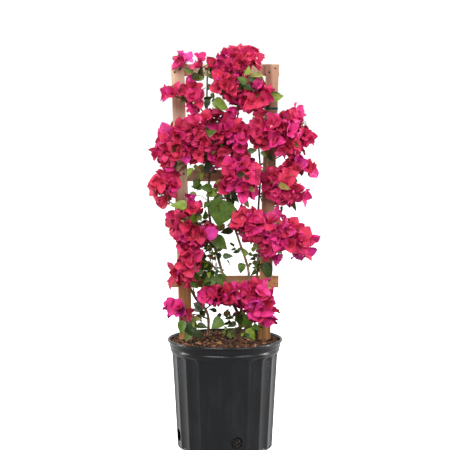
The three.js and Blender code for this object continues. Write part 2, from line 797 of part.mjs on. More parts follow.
// The boughs, then the stem inside each mass, then the masses one by one, each clear of all the others.
const standing = [pot, rootBall, ...[...posts, ...rails].map(placedSolid)];
standing.push(...Object.values(limbs).map((limb) => limb.solid));
const masses = withRearPartners(MASSES);
for (const mass of masses.filter((each) => each.way)) {
  mass.carrier = makeBough(limbs[mass.limb], mass);
  wood.add(`bough_${mass.name}`, mass.carrier.solid, BARK);
  standing.push(mass.carrier.solid);
}
for (const mass of masses) {
  const limb = limbs[mass.limb];
  const aim = mass.middle.clone().addScaledVector(UP, -0.4 * mass.reach.z);
  const ending = mass.carrier ?? (mass.tip ? limb : null);
  mass.stem = massStem(mass, ending ?? limb, ending ? 1 : nearestShare(limb, aim));
}
const crown = makeSection("crown");
for (const mass of masses) {
  const waiting = masses.filter((other) => other !== mass).map((other) => other.stem.solid);
  const solid = growMass(mass, [...standing, ...waiting]);
  crown.add(mass.name, solid, mass.blooms ? BLOSSOM : LEAVES);
  standing.push(solid);
}

const plant = new THREE.Group();
plant.name = "bougainvillea";
plant.add(container.group, trellis.group, wood.group, crown.group);

export default plant;
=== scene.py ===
"""A bougainvillea in full bloom, trained up the small trellis in its nursery pot.

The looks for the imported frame: metres, +Z up, the underside of the pot at the origin, the front
facing -Y. Sizes below are in millimetres, and turn into metres where a mesh is made.
"""

import logging
import math
import sys
from contextlib import contextmanager
from dataclasses import dataclass, field
from enum import Enum
from functools import cache
from typing import Any, Callable, ClassVar, Iterable, Iterator, Sequence

import bmesh
import bpy
import numpy as np
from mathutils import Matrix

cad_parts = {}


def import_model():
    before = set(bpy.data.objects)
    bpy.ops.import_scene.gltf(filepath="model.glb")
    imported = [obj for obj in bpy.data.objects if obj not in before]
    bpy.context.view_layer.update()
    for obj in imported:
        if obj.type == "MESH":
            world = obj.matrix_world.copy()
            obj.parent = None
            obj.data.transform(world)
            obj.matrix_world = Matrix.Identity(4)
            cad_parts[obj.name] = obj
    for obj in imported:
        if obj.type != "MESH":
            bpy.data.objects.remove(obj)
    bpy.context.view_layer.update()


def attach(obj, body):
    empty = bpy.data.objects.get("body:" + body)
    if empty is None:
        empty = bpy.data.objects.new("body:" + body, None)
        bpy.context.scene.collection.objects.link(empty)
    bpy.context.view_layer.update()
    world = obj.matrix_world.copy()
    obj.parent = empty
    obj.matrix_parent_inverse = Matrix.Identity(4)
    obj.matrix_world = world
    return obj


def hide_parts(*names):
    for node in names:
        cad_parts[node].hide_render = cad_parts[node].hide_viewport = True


MM = 0.001
CLEARANCE = 0.3
BODY = "root"
LOG = logging.getLogger("bougainvillea")

Triple = tuple[float, float, float]
Colour = tuple[float, float, float, float]
Pair = tuple[float, float]
Rows = np.ndarray
Draws = np.random.Generator
Face = tuple[int, ...]
Piece = bpy.types.Object


# Shader maths


class Wire:
    """A shader socket that takes part in plain arithmetic."""

    def __init__(self, graph: "Graph", socket: bpy.types.NodeSocket) -> None:
        """Wraps a socket of a graph."""
        self.graph = graph
        self.socket = socket

    def _math(self, operation: str, left: "Wire | float", right: "Wire | float") -> "Wire":
        """The result of one Math node on two values."""
        return self.graph.node("ShaderNodeMath", {"operation": operation}, {0: left, 1: right})

    def __add__(self, other: "Wire | float") -> "Wire":
        """self + other."""
        return self._math("ADD", self, other)

    def __sub__(self, other: "Wire | float") -> "Wire":
        """self - other."""
        return self._math("SUBTRACT", self, other)

    def __rsub__(self, other: float) -> "Wire":
        """other - self."""
        return self._math("SUBTRACT", other, self)

    def __mul__(self, other: "Wire | float") -> "Wire":
        """self * other."""
        return self._math("MULTIPLY", self, other)

    __radd__ = __add__
    __rmul__ = __mul__


class Graph:
    """A node tree, with the nodes that the finishes need."""

    def __init__(self, tree: bpy.types.NodeTree) -> None:
        """Takes a tree."""
        self.tree = tree

    def _fill(self, socket: bpy.types.NodeSocket, value: "Wire | float | Sequence[float]") -> None:
        """Links a wire to a socket, or sets the socket's own value.

        Args:
            socket: an input.
            value: a wire, or the value.
        """
        if isinstance(value, Wire):
            self.tree.links.new(value.socket, socket)
        else:
            socket.default_value = value

    def node(
        self, kind: str, settings: dict | None = None, values: dict | None = None, output: int | str = 0
    ) -> Wire:
        """Adds any node.

        Args:
            kind: the node's type.
            settings: its properties.
            values: the values or wires of its sockets, by name or number.
            output: the socket that comes back.

        Returns:
            That output as a wire.
        """
        made = self.tree.nodes.new(kind)
        for key, value in (settings or {}).items():
            setattr(made, key, value)
        for key, value in (values or {}).items():
            self._fill(made.inputs[key], value)
        return Wire(self, made.outputs[output])

    def place(self, stretch: Triple = (1.0, 1.0, 1.0)) -> Wire:
        """Object coordinates, stretched along each axis."""
        where = self.node("ShaderNodeTexCoord", output="Object")
        return self.node("ShaderNodeMapping", values={"Vector": where, "Scale": stretch})

    def noise(
        self, scale: float, detail: float = 3.0, rough: float = 0.5, stretch: Triple = (1.0, 1.0, 1.0)
    ) -> Wire:
        """Noise from 0 to 1: clouds per metre, octaves, their fineness, and the stretch of each axis."""
        values = {"Vector": self.place(stretch), "Scale": scale, "Detail": detail, "Roughness": rough}
        return self.node("ShaderNodeTexNoise", values=values)

    def step(self, value: Wire, low: float, high: float) -> Wire:
        """A smooth step from 0 at low to 1 at high."""
        values = {"Value": value, "From Min": low, "From Max": high}
        return self.node("ShaderNodeMapRange", {"interpolation_type": "SMOOTHSTEP"}, values)

    def blend(self, share: "Wire | float", first: "Wire | Colour", second: "Wire | Colour") -> Wire:
        """A mix of two colours, with a share of the second."""
        return self.node("ShaderNodeMix", {"data_type": "RGBA"}, {0: share, 6: first, 7: second}, output=2)

    def bump(self, height: Wire, strength: float, distance: float) -> Wire:
        """A normal from a relief of 0 to 1, its strength, and its depth in metres."""
        values = {"Height": height, "Strength": strength, "Distance": distance}
        return self.node("ShaderNodeBump", values=values)


class Skin(Graph):
    """The tree of one material: a Principled shader and what feeds it."""

    def __init__(self, name: str) -> None:
        """Makes a material with an empty tree and one Principled shader.

        Args:
            name: the material's name.
        """
        self.material = bpy.data.materials.new(name)
        self.material.use_nodes = True
        super().__init__(self.material.node_tree)
        self.tree.nodes.clear()
        self.shader = self.tree.nodes.new("ShaderNodeBsdfPrincipled")
        output = self.tree.nodes.new("ShaderNodeOutputMaterial")
        self.tree.links.new(self.shader.outputs["BSDF"], output.inputs["Surface"])

    def surface(self, looks: "Looks") -> bpy.types.Material:
        """Feeds the shader.

        Args:
            looks: what goes into each of its sockets.

        Returns:
            The material.
        """
        for key, value in looks.items():
            self._fill(self.shader.inputs[key], value)
        return self.material


Looks = dict[str, Wire | float | Sequence[float]]


def linear(part: int) -> float:
    """One part of a screen colour, 0 to 255, as linear light."""
    share = part / 255
    return share / 12.92 if share <= 0.04045 else ((share + 0.055) / 1.055) ** 2.4


def tint(red: int, green: int, blue: int) -> Colour:
    """A screen colour as linear light."""
    return linear(red), linear(green), linear(blue), 1.0


# Finishes


@dataclass(frozen=True)
class Finish:
    """A surface's finish: its name, main colour and the colour that it drifts to."""

    name: str
    main: Colour
    drift: Colour

    def looks(self, graph: Graph) -> Looks:
        """What feeds the shader's sockets, with its nodes in a graph."""
        raise NotImplementedError


@dataclass(frozen=True)
class MouldedPlastic(Finish):
    """Satin black plastic with faint scuffs and dust."""

    def looks(self, graph: Graph) -> Looks:
        """Adds the finish's nodes.

        Args:
            graph: where they go.

        Returns:
            What feeds each socket.
        """
        clouds = graph.noise(14, 4)
        streaks = graph.noise(160, 3, 0.6, (1, 1, 0.12))
        grain = graph.noise(2600, 2)
        worn = graph.step(clouds * 0.6 + streaks * 0.4, 0.42, 0.68)
        return {
            "Base Color": graph.blend(worn * 0.7, self.main, self.drift),
            "Roughness": 0.16 + streaks * 0.1 + clouds * 0.08,
            "Normal": graph.bump(grain * 0.6 + streaks * 0.4, 0.25, 0.0002),
            "Specular IOR Level": 0.42,
        }


class GrainWay(Enum):
    """Which way a board's grain runs."""

    UPRIGHT = (60.0, 60.0, 2.4)
    LEVEL = (2.4, 60.0, 60.0)


@dataclass(frozen=True)
class SawnPine(Finish):
    """Sawn softwood, paler towards the top and warmer lower down."""

    way: GrainWay = GrainWay.UPRIGHT
    pale: Colour = tint(236, 210, 176)
    pale_drift: Colour = tint(200, 170, 140)
    pale_from: float = 0.36
    pale_to: float = 0.66

    def looks(self, graph: Graph) -> Looks:
        """Adds the finish's nodes.

        Args:
            graph: where they go.

        Returns:
            What feeds each socket.
        """
        rings = graph.noise(1.6, 4, 0.62, self.way.value)
        fibres = graph.noise(9.0, 5, 0.7, self.way.value)
        clouds = graph.noise(26, 3)
        upward = graph.node("ShaderNodeSeparateXYZ", values={0: graph.place()}, output=2)
        # the board turns paler between two heights, by height alone
        upper_share = graph.step(upward + clouds * 0.12, self.pale_from, self.pale_to)
        warm = graph.blend(graph.step(rings, 0.36, 0.66), self.main, self.drift)
        pale = graph.blend(graph.step(rings, 0.4, 0.7), self.pale, self.pale_drift)
        board = graph.blend(upper_share, warm, pale)
        stained = graph.blend(graph.step(fibres, 0.58, 0.74) * 0.55, board, tint(92, 62, 42))
        return {
            "Base Color": stained,
            "Roughness": 0.7 + fibres * 0.2,
            "Normal": graph.bump(fibres * 0.7 + rings * 0.3, 0.55, 0.0008),
        }


@dataclass(frozen=True)
class StemBark(Finish):
    """Pale brown bark with fine furrows along the stem."""

    def looks(self, graph: Graph) -> Looks:
        """Adds the finish's nodes.

        Args:
            graph: where they go.

        Returns:
            What feeds each socket.
        """
        furrows = graph.noise(900, 4, 0.7, (1, 1, 0.22))
        clouds = graph.noise(60, 3)
        specks = graph.step(graph.noise(520, 2), 0.6, 0.7)
        bark = graph.blend(graph.step(clouds, 0.35, 0.65), self.main, self.drift)
        speckled = graph.blend(specks * 0.5, bark, tint(190, 170, 140))
        return {
            "Base Color": graph.blend(graph.step(furrows, 0.56, 0.7) * 0.6, speckled, tint(64, 46, 34)),
            "Roughness": 0.72 + clouds * 0.18,
            "Normal": graph.bump(furrows, 0.6, 0.0006),
        }


@dataclass(frozen=True)
class Mottled(Finish):
    """A finish that drifts by broad and fine clouds, with a fine relief."""

    broad: tuple = ()  # a noise: its scale, detail, rough and stretch
    fine: tuple = ()
    fine_share: float = 0.0  # of the fine noise in the drift
    drift_edges: Pair = (0.34, 0.68)
    dullness: Pair = (0.5, 0.2)  # the roughness, and what the fine noise adds to it
    relief_share: float = 0.6  # of the fine noise in the relief
    relief: Pair = (0.35, 0.0012)  # its strength, and its depth in metres

    def looks(self, graph: Graph) -> Looks:
        """Adds the finish's nodes.

        Args:
            graph: where they go.

        Returns:
            What feeds each socket.
        """
        broad, fine = graph.noise(*self.broad), graph.noise(*self.fine)
        drift = broad * (1 - self.fine_share) + fine * self.fine_share
        height = fine * self.relief_share + broad * (1 - self.relief_share)
        return {
            "Base Color": graph.blend(graph.step(drift, *self.drift_edges), self.main, self.drift),
            "Roughness": self.dullness[0] + fine * self.dullness[1],
            "Normal": graph.bump(height, *self.relief),
        }


@dataclass(frozen=True)
class BarkChip(Mottled):
    """One tone of the mulch: fibrous and dull, mottled darker by clouds."""

    broad: tuple = (120, 3)
    fine: tuple = (700, 4, 0.7, (1, 0.3, 1))
    fine_share: float = 0.6
    drift_edges: Pair = (0.38, 0.62)
    dullness: Pair = (0.82, 0.15)
    relief_share: float = 1.0
    relief: Pair = (0.7, 0.0012)


@dataclass(frozen=True)
class GrittySoil(Finish):
    """Dark moist compost with a few pale grains of grit."""

    def looks(self, graph: Graph) -> Looks:
        """Adds the finish's nodes.

        Args:
            graph: where they go.

        Returns:
            What feeds each socket.
        """
        clods = graph.noise(260, 4, 0.7)
        grit = graph.step(graph.noise(330, 1), 0.66, 0.7)
        compost = graph.blend(graph.step(clods, 0.36, 0.6), self.main, self.drift)
        return {
            "Base Color": graph.blend(grit, compost, tint(150, 138, 120)),
            "Roughness": 0.8 + clods * 0.2,
            "Normal": graph.bump(clods + grit * 0.3, 0.9, 0.003),
        }


@dataclass(frozen=True)
class PaperyBract(Mottled):
    """A thin papery bract, mottled a little, with a fine crinkle."""

    broad: tuple = (95, 3, 0.6)
    fine: tuple = (620, 3, 0.6)

    def looks(self, graph: Graph) -> Looks:
        """What feeds the shader's sockets."""
        return super().looks(graph) | {"Specular IOR Level": 0.3}


@dataclass(frozen=True)
class LeafSkin(Mottled):
    """A leaf's smooth skin, with paler and darker patches and a slight gloss."""

    broad: tuple = (80, 3, 0.55)
    fine: tuple = (480, 3, 0.6)
    fine_share: float = 0.3
    drift_edges: Pair = (0.36, 0.64)
    dullness: Pair = (0.42, 0.16)
    relief_share: float = 0.5
    relief: Pair = (0.3, 0.001)


@dataclass(frozen=True)
class DullMetal(Finish):
    """A nail head: dark steel with a bloom of rust."""

    def looks(self, graph: Graph) -> Looks:
        """Adds the finish's nodes.

        Args:
            graph: where they go.

        Returns:
            What feeds each socket.
        """
        rust = graph.step(graph.noise(900, 4), 0.45, 0.6)
        return {
            "Base Color": graph.blend(rust, self.main, self.drift),
            "Metallic": 1.0 - rust * 0.8,
            "Roughness": 0.45 + rust * 0.4,
        }


POT_BLACK = MouldedPlastic("satin_black_plastic", tint(20, 21, 23), tint(33, 35, 38))
POST_PINE = SawnPine("post_pine", tint(200, 146, 88), tint(160, 108, 58))
BROWN_PINE = SawnPine(
    "brown_pine", tint(190, 138, 84), tint(146, 98, 54),
    pale=tint(190, 150, 122), pale_drift=tint(142, 106, 84),
)
RAIL_PINE = SawnPine("rail_pine", tint(182, 124, 66), tint(126, 82, 42), GrainWay.LEVEL)
STEM_BARK = StemBark("stem_bark", tint(142, 112, 86), tint(108, 80, 60))
TWIG_BARK = StemBark("twig_bark", tint(104, 92, 52), tint(120, 70, 52))
DARK_SOIL = GrittySoil("gritty_soil", tint(26, 20, 16), tint(12, 9, 8))
CHIP_TONES = (
    BarkChip("mulch_brown", tint(100, 60, 34), tint(66, 40, 23)),
    BarkChip("mulch_dark", tint(40, 25, 17), tint(24, 15, 11)),
    BarkChip("mulch_red", tint(134, 80, 46), tint(92, 52, 30)),
    BarkChip("mulch_tan", tint(206, 160, 110), tint(150, 104, 64)),
)
NAIL_STEEL = DullMetal("nail_steel", tint(60, 58, 56), tint(84, 50, 34))
TIE_GREEN = MouldedPlastic("tie_green", tint(22, 82, 84), tint(36, 110, 108))


class Tone(Enum):
    """The tones of the bracts, and the painted shade deep in each bloom, which the foot of every bract
    takes.
    """

    MAGENTA = PaperyBract("bract_magenta", tint(222, 52, 132), tint(200, 38, 106))
    CERISE = PaperyBract("bract_cerise", tint(216, 54, 110), tint(194, 40, 88))
    ROSE = PaperyBract("bract_rose", tint(218, 58, 94), tint(194, 44, 76))
    CRIMSON = PaperyBract("bract_crimson", tint(196, 44, 82), tint(168, 32, 64))
    PURPLE = PaperyBract("bract_purple", tint(214, 54, 154), tint(192, 40, 128))
    PINK = PaperyBract("bract_pink", tint(230, 72, 150), tint(214, 54, 128))
    # painted shade: the darker tone put at the foot of every bract, deep in the bloom
    HEART = PaperyBract("bract_heart", tint(170, 28, 66), tint(142, 20, 50))


class Green(Enum):
    """The tones of the leaves."""

    DEEP = LeafSkin("leaf_deep", tint(56, 80, 24), tint(34, 54, 15))
    MID = LeafSkin("leaf_mid", tint(88, 116, 24), tint(60, 88, 16))
    FRESH = LeafSkin("leaf_fresh", tint(140, 160, 58), tint(104, 130, 40))
    OLIVE = LeafSkin("leaf_olive", tint(156, 148, 76), tint(116, 112, 50))
    BRONZE = LeafSkin("leaf_bronze", tint(116, 72, 46), tint(86, 46, 34))


STAR_CREAM = PaperyBract("star_cream", tint(250, 246, 226), tint(240, 230, 196))
TUBE_PINK = PaperyBract("tube_pink", tint(176, 40, 66), tint(146, 28, 50))
BUD_DARK = PaperyBract("bud_dark", tint(112, 16, 40), tint(84, 14, 30))


@cache
def material(finish: Finish) -> bpy.types.Material:
    """The material of a finish, made the first time that it is asked for."""
    skin = Skin(finish.name)
    return skin.surface(finish.looks(skin))


# Working by hand: selecting, editing and finishing a mesh


def take(piece: Piece) -> None:
    """Makes a piece the only selected and the active one.

    Args:
        piece: the piece.
    """
    bpy.ops.object.select_all(action="DESELECT")
    piece.select_set(True)
    bpy.context.view_layer.objects.active = piece


@contextmanager
def editing(piece: Piece, mode: str = "VERT", start: str = "DESELECT") -> Iterator[None]:
    """Edit mode on one piece.

    Args:
        piece: the piece.
        mode: the kind of element that is selected.
        start: "SELECT" to start with all of it, "DESELECT" to start with nothing.

    Yields:
        Nothing.
    """
    take(piece)
    bpy.ops.object.mode_set(mode="EDIT")
    bpy.ops.mesh.select_mode(type=mode)
    bpy.ops.mesh.select_all(action=start)
    yield
    bpy.ops.object.mode_set(mode="OBJECT")


def select_where(kind: str, test: Callable[[Any], bool]) -> None:
    """Selects, in the piece in edit mode, the elements that pass a test, and nothing else.

    Args:
        kind: "verts" or "faces".
        test: says of one element whether it is taken.
    """
    mesh = bpy.context.edit_object.data
    shape = bmesh.from_edit_mesh(mesh)
    for element in getattr(shape, kind):
        element.select = test(element)
    shape.select_flush_mode()
    bmesh.update_edit_mesh(mesh)


def apply_modifiers(piece: Piece) -> None:
    """Applies all the modifiers of a piece, in order.

    Args:
        piece: the piece.
    """
    take(piece)
    for modifier in list(piece.modifiers):
        bpy.ops.object.modifier_apply(modifier=modifier.name)


def settle(piece: Piece) -> None:
    """Moves a piece's place, turn and size into its mesh."""
    take(piece)
    bpy.ops.object.transform_apply(location=True, rotation=True, scale=True)


def smooth(piece: Piece, degrees: float) -> None:
    """Shades a piece smooth, but for edges sharper than an angle."""
    take(piece)
    bpy.ops.object.shade_smooth_by_angle(angle=math.radians(degrees))


def raise_rings(radius: float, height: float, outline: Iterable[Pair]) -> None:
    """Extrudes the selected round face from ring to ring of an outline about the axis.

    Args:
        radius: the face's radius in millimetres.
        height: its height.
        outline: the radius and height of each ring that follows.
    """
    for next_radius, next_height in outline:
        climb = (0, 0, (next_height - height) * MM)
        bpy.ops.mesh.extrude_region_move(TRANSFORM_OT_translate={"value": climb})
        spread = next_radius / radius
        bpy.ops.transform.resize(value=(spread, spread, 1), center_override=(0, 0, 0))
        radius, height = next_radius, next_height


def roughen(piece: Piece, size: float, depth: float, group: str = "") -> None:
    """Pushes a mesh in and out by clouds.

    Args:
        piece: the piece.
        size: the clouds' size in millimetres.
        depth: the most that the surface moves, in millimetres.
        group: the vertex group that it works on, if not all over.
    """
    clouds = bpy.data.textures.new(f"{piece.name}_relief", "CLOUDS")
    clouds.noise_scale = size * MM
    clouds.noise_depth = 2
    relief = piece.modifiers.new("relief", "DISPLACE")
    relief.texture = clouds
    relief.texture_coords = "LOCAL"
    relief.strength = 2 * depth * MM
    relief.mid_level = 0.5
    relief.vertex_group = group
    apply_modifiers(piece)


def finish_piece(
    piece: Piece, name: str, finishes: Sequence[Finish], nodes: Sequence[str] = ()
) -> None:
    """Names, dresses and hangs a piece in the frame.

    Args:
        piece: the piece.
        name: its plain name.
        finishes: its finishes, in the order of its material slots.
        nodes: the CAD nodes that it stands for.
    """
    piece.name = name
    piece.data.name = name
    for finish in finishes:
        piece.data.materials.append(material(finish))
    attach(piece, BODY)
    if nodes:
        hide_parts(*nodes)
    LOG.info("%s: %d faces", name, len(piece.data.polygons))


# Small shapes by the hundred


def unit(rows: Rows) -> Rows:
    """Each row made one long."""
    return rows / np.maximum(np.linalg.norm(rows, axis=-1, keepdims=True), 1e-9)


def square_to(rows: Rows, near: Rows) -> Rows:
    """The direction square to each row that lies nearest to another one."""
    return unit(near - rows * np.sum(near * rows, axis=1, keepdims=True))


def across_of(rows: Rows) -> Rows:
    """A direction square to each row."""
    helper = np.where(np.abs(rows[:, 2:3]) < 0.9, [[0.0, 0.0, 1.0]], [[1.0, 0.0, 0.0]])
    return unit(np.cross(rows, helper))


def turned_about(rows: Rows, axes: Rows, angles: Rows) -> Rows:
    """Rows turned round axes.

    Args:
        rows: directions.
        axes: an axis, one long, for each.
        angles: how far, in radians.

    Returns:
        The turned directions.
    """
    cosine = np.cos(angles)[:, None]
    sine = np.sin(angles)[:, None]
    along = np.sum(rows * axes, axis=1, keepdims=True)
    return rows * cosine + np.cross(axes, rows) * sine + axes * along * (1 - cosine)


class Gathering:
    """Collects many small shapes and joins them in one mesh."""

    def __init__(self) -> None:
        """Starts empty."""
        self._corners: list[Rows] = []
        self._faces: list[list[int]] = []
        self._tones: list[Rows] = []
        self._count = 0

    def add(self, corners: Rows, faces: Sequence[Face], tones: Rows | int = 0) -> None:
        """Adds shapes that share one pattern of faces.

        Args:
            corners: places in millimetres, as shape, corner, axis.
            faces: the corners of each face of one shape.
            tones: the material slot of every face, of each shape, or of each face of each shape.
        """
        number, size, _ = corners.shape
        if not number:
            return
        starts = self._count + size * np.arange(number)
        slots = np.asarray(tones, int)
        slots = np.broadcast_to(slots if slots.ndim > 1 else slots.reshape(-1, 1), (number, len(faces)))
        for place, face in enumerate(faces):
            self._faces.extend((starts[:, None] + np.array(face)).tolist())
            self._tones.append(slots[:, place])
        self._corners.append(corners.reshape(-1, 3))
        self._count += number * size

    def join(self, smooth: bool = True) -> Piece:
        """Makes the joined mesh.

        Args:
            smooth: True to shade it smooth.

        Returns:
            The new piece.
        """
        mesh = bpy.data.meshes.new("gathering")
        mesh.from_pydata((np.concatenate(self._corners) * MM).tolist(), [], self._faces)
        mesh.polygons.foreach_set("material_index", np.concatenate(self._tones).astype(np.int32))
        mesh.polygons.foreach_set("use_smooth", np.full(len(mesh.polygons), smooth))
        mesh.update()
        piece = bpy.data.objects.new("gathering", mesh)
        bpy.context.scene.collection.objects.link(piece)
        return piece


@dataclass
class Lay:
    """How blades lie: in each field one entry for each blade, in millimetres."""

    foot: Rows
    along: Rows  # the way that it sets out
    above: Rows  # its upper side
    length: Rows
    half_width: Rows
    curl: Rows  # how far the rib turns towards above on its way, in radians
    cup: Rows  # how far the edges rise, as a share of the half width
    wave: Rows  # how far they ripple
    crumple: float = 0.0  # how far single corners stray from the smooth sheet


@dataclass(frozen=True)
class Blade:
    """The outline of a bract or a leaf: how wide it is at shares of its length, and its folds."""

    shares: tuple[float, ...]
    widths: tuple[float, ...]
    crease: float
    columns: tuple[float, ...] = (-1.0, -0.5, 0.0, 0.5, 1.0)
    flat: float = 1e-3
    swings: Pair = (7.0, 12.0)
    skew: float = 2.1

    def faces(self) -> list[Face]:
        """The faces, from the foot to the tip.

        Returns:
            The corners of each, counter-clockwise from above.
        """
        wide = len(self.columns)
        last = 1 + wide * len(self.shares)
        rows = [[1 + wide * row + column for column in range(wide)] for row in range(len(self.shares))]
        faces: list[Face] = [(0, rows[0][k], rows[0][k + 1]) for k in range(wide - 1)]
        for low, high in zip(rows, rows[1:]):
            faces += [(low[k], high[k], high[k + 1], low[k + 1]) for k in range(wide - 1)]
        faces += [(rows[-1][k], last, rows[-1][k + 1]) for k in range(wide - 1)]
        return faces

    def corners(self, lay: Lay, draw: Draws) -> Rows:
        """Places blades.

        Args:
            lay: how they lie.
            draw: the seeded numbers.

        Returns:
            The corners, as blade, corner, axis.
        """
        number = len(lay.foot)
        share = np.array([*self.shares, 1.0])[:, None, None]
        width = np.array(self.widths)[:, None, None]
        across = np.array(self.columns)[:, None]
        bend = np.where(np.abs(lay.curl) < self.flat, self.flat, lay.curl)
        forward = np.sin(bend * share) / bend * lay.length
        rise = (1 - np.cos(bend * share)) / bend * lay.length
        phase = draw.uniform(0, math.tau, number)
        swing = draw.uniform(*self.swings, number)
        shake = draw.normal(0, 1, (len(self.shares), len(self.columns), number))
        ripple = lay.wave * across**2 * np.sin(swing * share[:-1] + phase + self.skew * across) * width
        lift = lay.half_width * width * (lay.cup * across**2 + self.crease * np.abs(across))
        lift = lift + ripple + shake * lay.crumple
        ahead = forward[:-1] - lift * np.sin(lay.curl * share[:-1])
        above = rise[:-1] + lift * np.cos(lay.curl * share[:-1])
        beside = across * width * lay.half_width
        side = unit(np.cross(lay.above, lay.along))
        sheet = lay.along * ahead[..., None] + lay.above * above[..., None] + side * beside[..., None]
        tip = lay.along * forward[-1, 0][:, None] + lay.above * rise[-1, 0][:, None]
        rows = np.concatenate([np.zeros((1, number, 3)), sheet.reshape(-1, number, 3), tip[None]])
        return lay.foot[:, None] + rows.transpose(1, 0, 2)


BRACT = Blade((0.09, 0.25, 0.44, 0.63, 0.80, 0.92), (0.5, 0.88, 1.0, 0.87, 0.6, 0.28), 0.08)
LEAF = Blade((0.12, 0.34, 0.58, 0.80), (0.72, 1.0, 0.78, 0.38), 0.16, (-1.0, 0.0, 1.0))
BROAD_LEAF = Blade((0.05, 0.2, 0.42, 0.64, 0.84), (0.72, 1.0, 0.96, 0.66, 0.3), 0.1)


def ring_pairs(sides: int) -> list[tuple[int, int]]:
    """Each corner of a ring, with the one after it."""
    return [(side, (side + 1) % sides) for side in range(sides)]


def tubes(points: Rows, radii: Rows, sides: int) -> tuple[Rows, list[Face]]:
    """Tapering tubes along rows of points.

    Args:
        points: as tube, point, axis, in millimetres.
        radii: as tube, point.
        sides: how many sides each has.

    Returns:
        The corners as tube, corner, axis, and the faces of one tube.
    """
    rings = points.shape[1]
    turns = math.tau * np.arange(sides)[:, None] / sides
    across = across_of(unit(points[:, 1] - points[:, 0]))
    corners = []
    for ring in range(rings):
        along = unit(points[:, min(ring + 1, rings - 1)] - points[:, max(ring - 1, 0)])
        across = square_to(along, across)
        spokes = across[:, None] * np.cos(turns) + np.cross(along, across)[:, None] * np.sin(turns)
        corners.append(points[:, ring, None] + spokes * radii[:, ring, None, None])
    faces: list[Face] = []
    for low in range(0, (rings - 1) * sides, sides):
        faces += [(low + a, low + b, low + b + sides, low + a + sides) for a, b in ring_pairs(sides)]
    faces.append(tuple(range(sides - 1, -1, -1)))
    faces.append(tuple(range((rings - 1) * sides, rings * sides)))
    return np.concatenate(corners, axis=1), faces


# The plant's lines


class SmoothLine:
    """A centripetal curve through bends, as the frame's limbs follow."""

    LOOKS = 200

    def __init__(self, bends: Iterable[Sequence[float]]) -> None:
        """Works out the curve.

        Args:
            bends: the places that it passes, in millimetres.
        """
        self.bends = np.array([list(bend) for bend in bends], float)
        shares = np.linspace(0, 1, self.LOOKS + 1)
        self._fine = np.array([self._at(share) for share in shares])
        steps = np.linalg.norm(np.diff(self._fine, axis=0), axis=1)
        self._run = np.concatenate([[0.0], np.cumsum(steps)])
        self.length = float(self._run[-1])

    def _at(self, share: float) -> Rows:
        """The place at a share of the bends.

        Args:
            share: 0 at the first bend, 1 at the last.

        Returns:
            The place.
        """
        bends = self.bends
        count = len(bends)
        place = (count - 1) * share
        first = min(int(place), count - 2)
        weight = place - first
        before = bends[first - 1] if first > 0 else 2 * bends[0] - bends[1]
        after = bends[first + 2] if first + 2 < count else 2 * bends[-1] - bends[-2]
        near, far = bends[first], bends[first + 1]
        spans = [np.sum((a - b) ** 2) ** 0.25 for a, b in ((near, before), (far, near), (after, far))]
        one, two, three = (max(span, 1e-4) for span in spans)
        leave = (near - before) / one - (far - before) / (one + two) + (far - near) / two
        arrive = (far - near) / two - (after - near) / (two + three) + (after - far) / three
        leave, arrive = leave * two, arrive * two
        square = -3 * near + 3 * far - 2 * leave - arrive
        cube = 2 * near - 2 * far + leave + arrive
        return near + leave * weight + square * weight**2 + cube * weight**3

    def at(self, share: float | Rows) -> Rows:
        """The place or places at shares of the length."""
        run = np.asarray(share) * self.length
        return np.stack([np.interp(run, self._run, self._fine[:, axis]) for axis in range(3)], axis=-1)

    def spaced(self, step: float) -> Rows:
        """Places about a step apart, from end to end."""
        return self.at(np.linspace(0, 1, max(3, math.ceil(self.length / step) + 1)))

    def nearest(self, place: Rows) -> float:
        """The share of the length, past its first fortieth, that lies nearest to a place."""
        shares = np.arange(2, 81) / 80
        return float(shares[np.argmin(np.linalg.norm(self.at(shares) - place, axis=1))])


class SeededDraws:
    """Numbers from 0 to 1 that are the same on every run."""

    MASK = 0xFFFFFFFF
    STEP = 0x6D2B79F5
    SPREAD = 61

    def __init__(self, seed: int) -> None:
        """Starts at a seed."""
        self._state = seed & self.MASK

    def draw(self) -> float:
        """The next number.

        Returns:
            A number from 0 to 1.
        """
        self._state = (self._state + self.STEP) & self.MASK
        word = self._state
        word = ((word ^ (word >> 15)) * (word | 1)) & self.MASK
        word ^= (word + (((word ^ (word >> 7)) * (word | self.SPREAD)) & self.MASK)) & self.MASK
        return ((word ^ (word >> 14)) & self.MASK) / (self.MASK + 1)


def mix(low: float, high: float, share: float) -> float:
    """A value between two."""
    return low + (high - low) * share


# The pot and what fills it


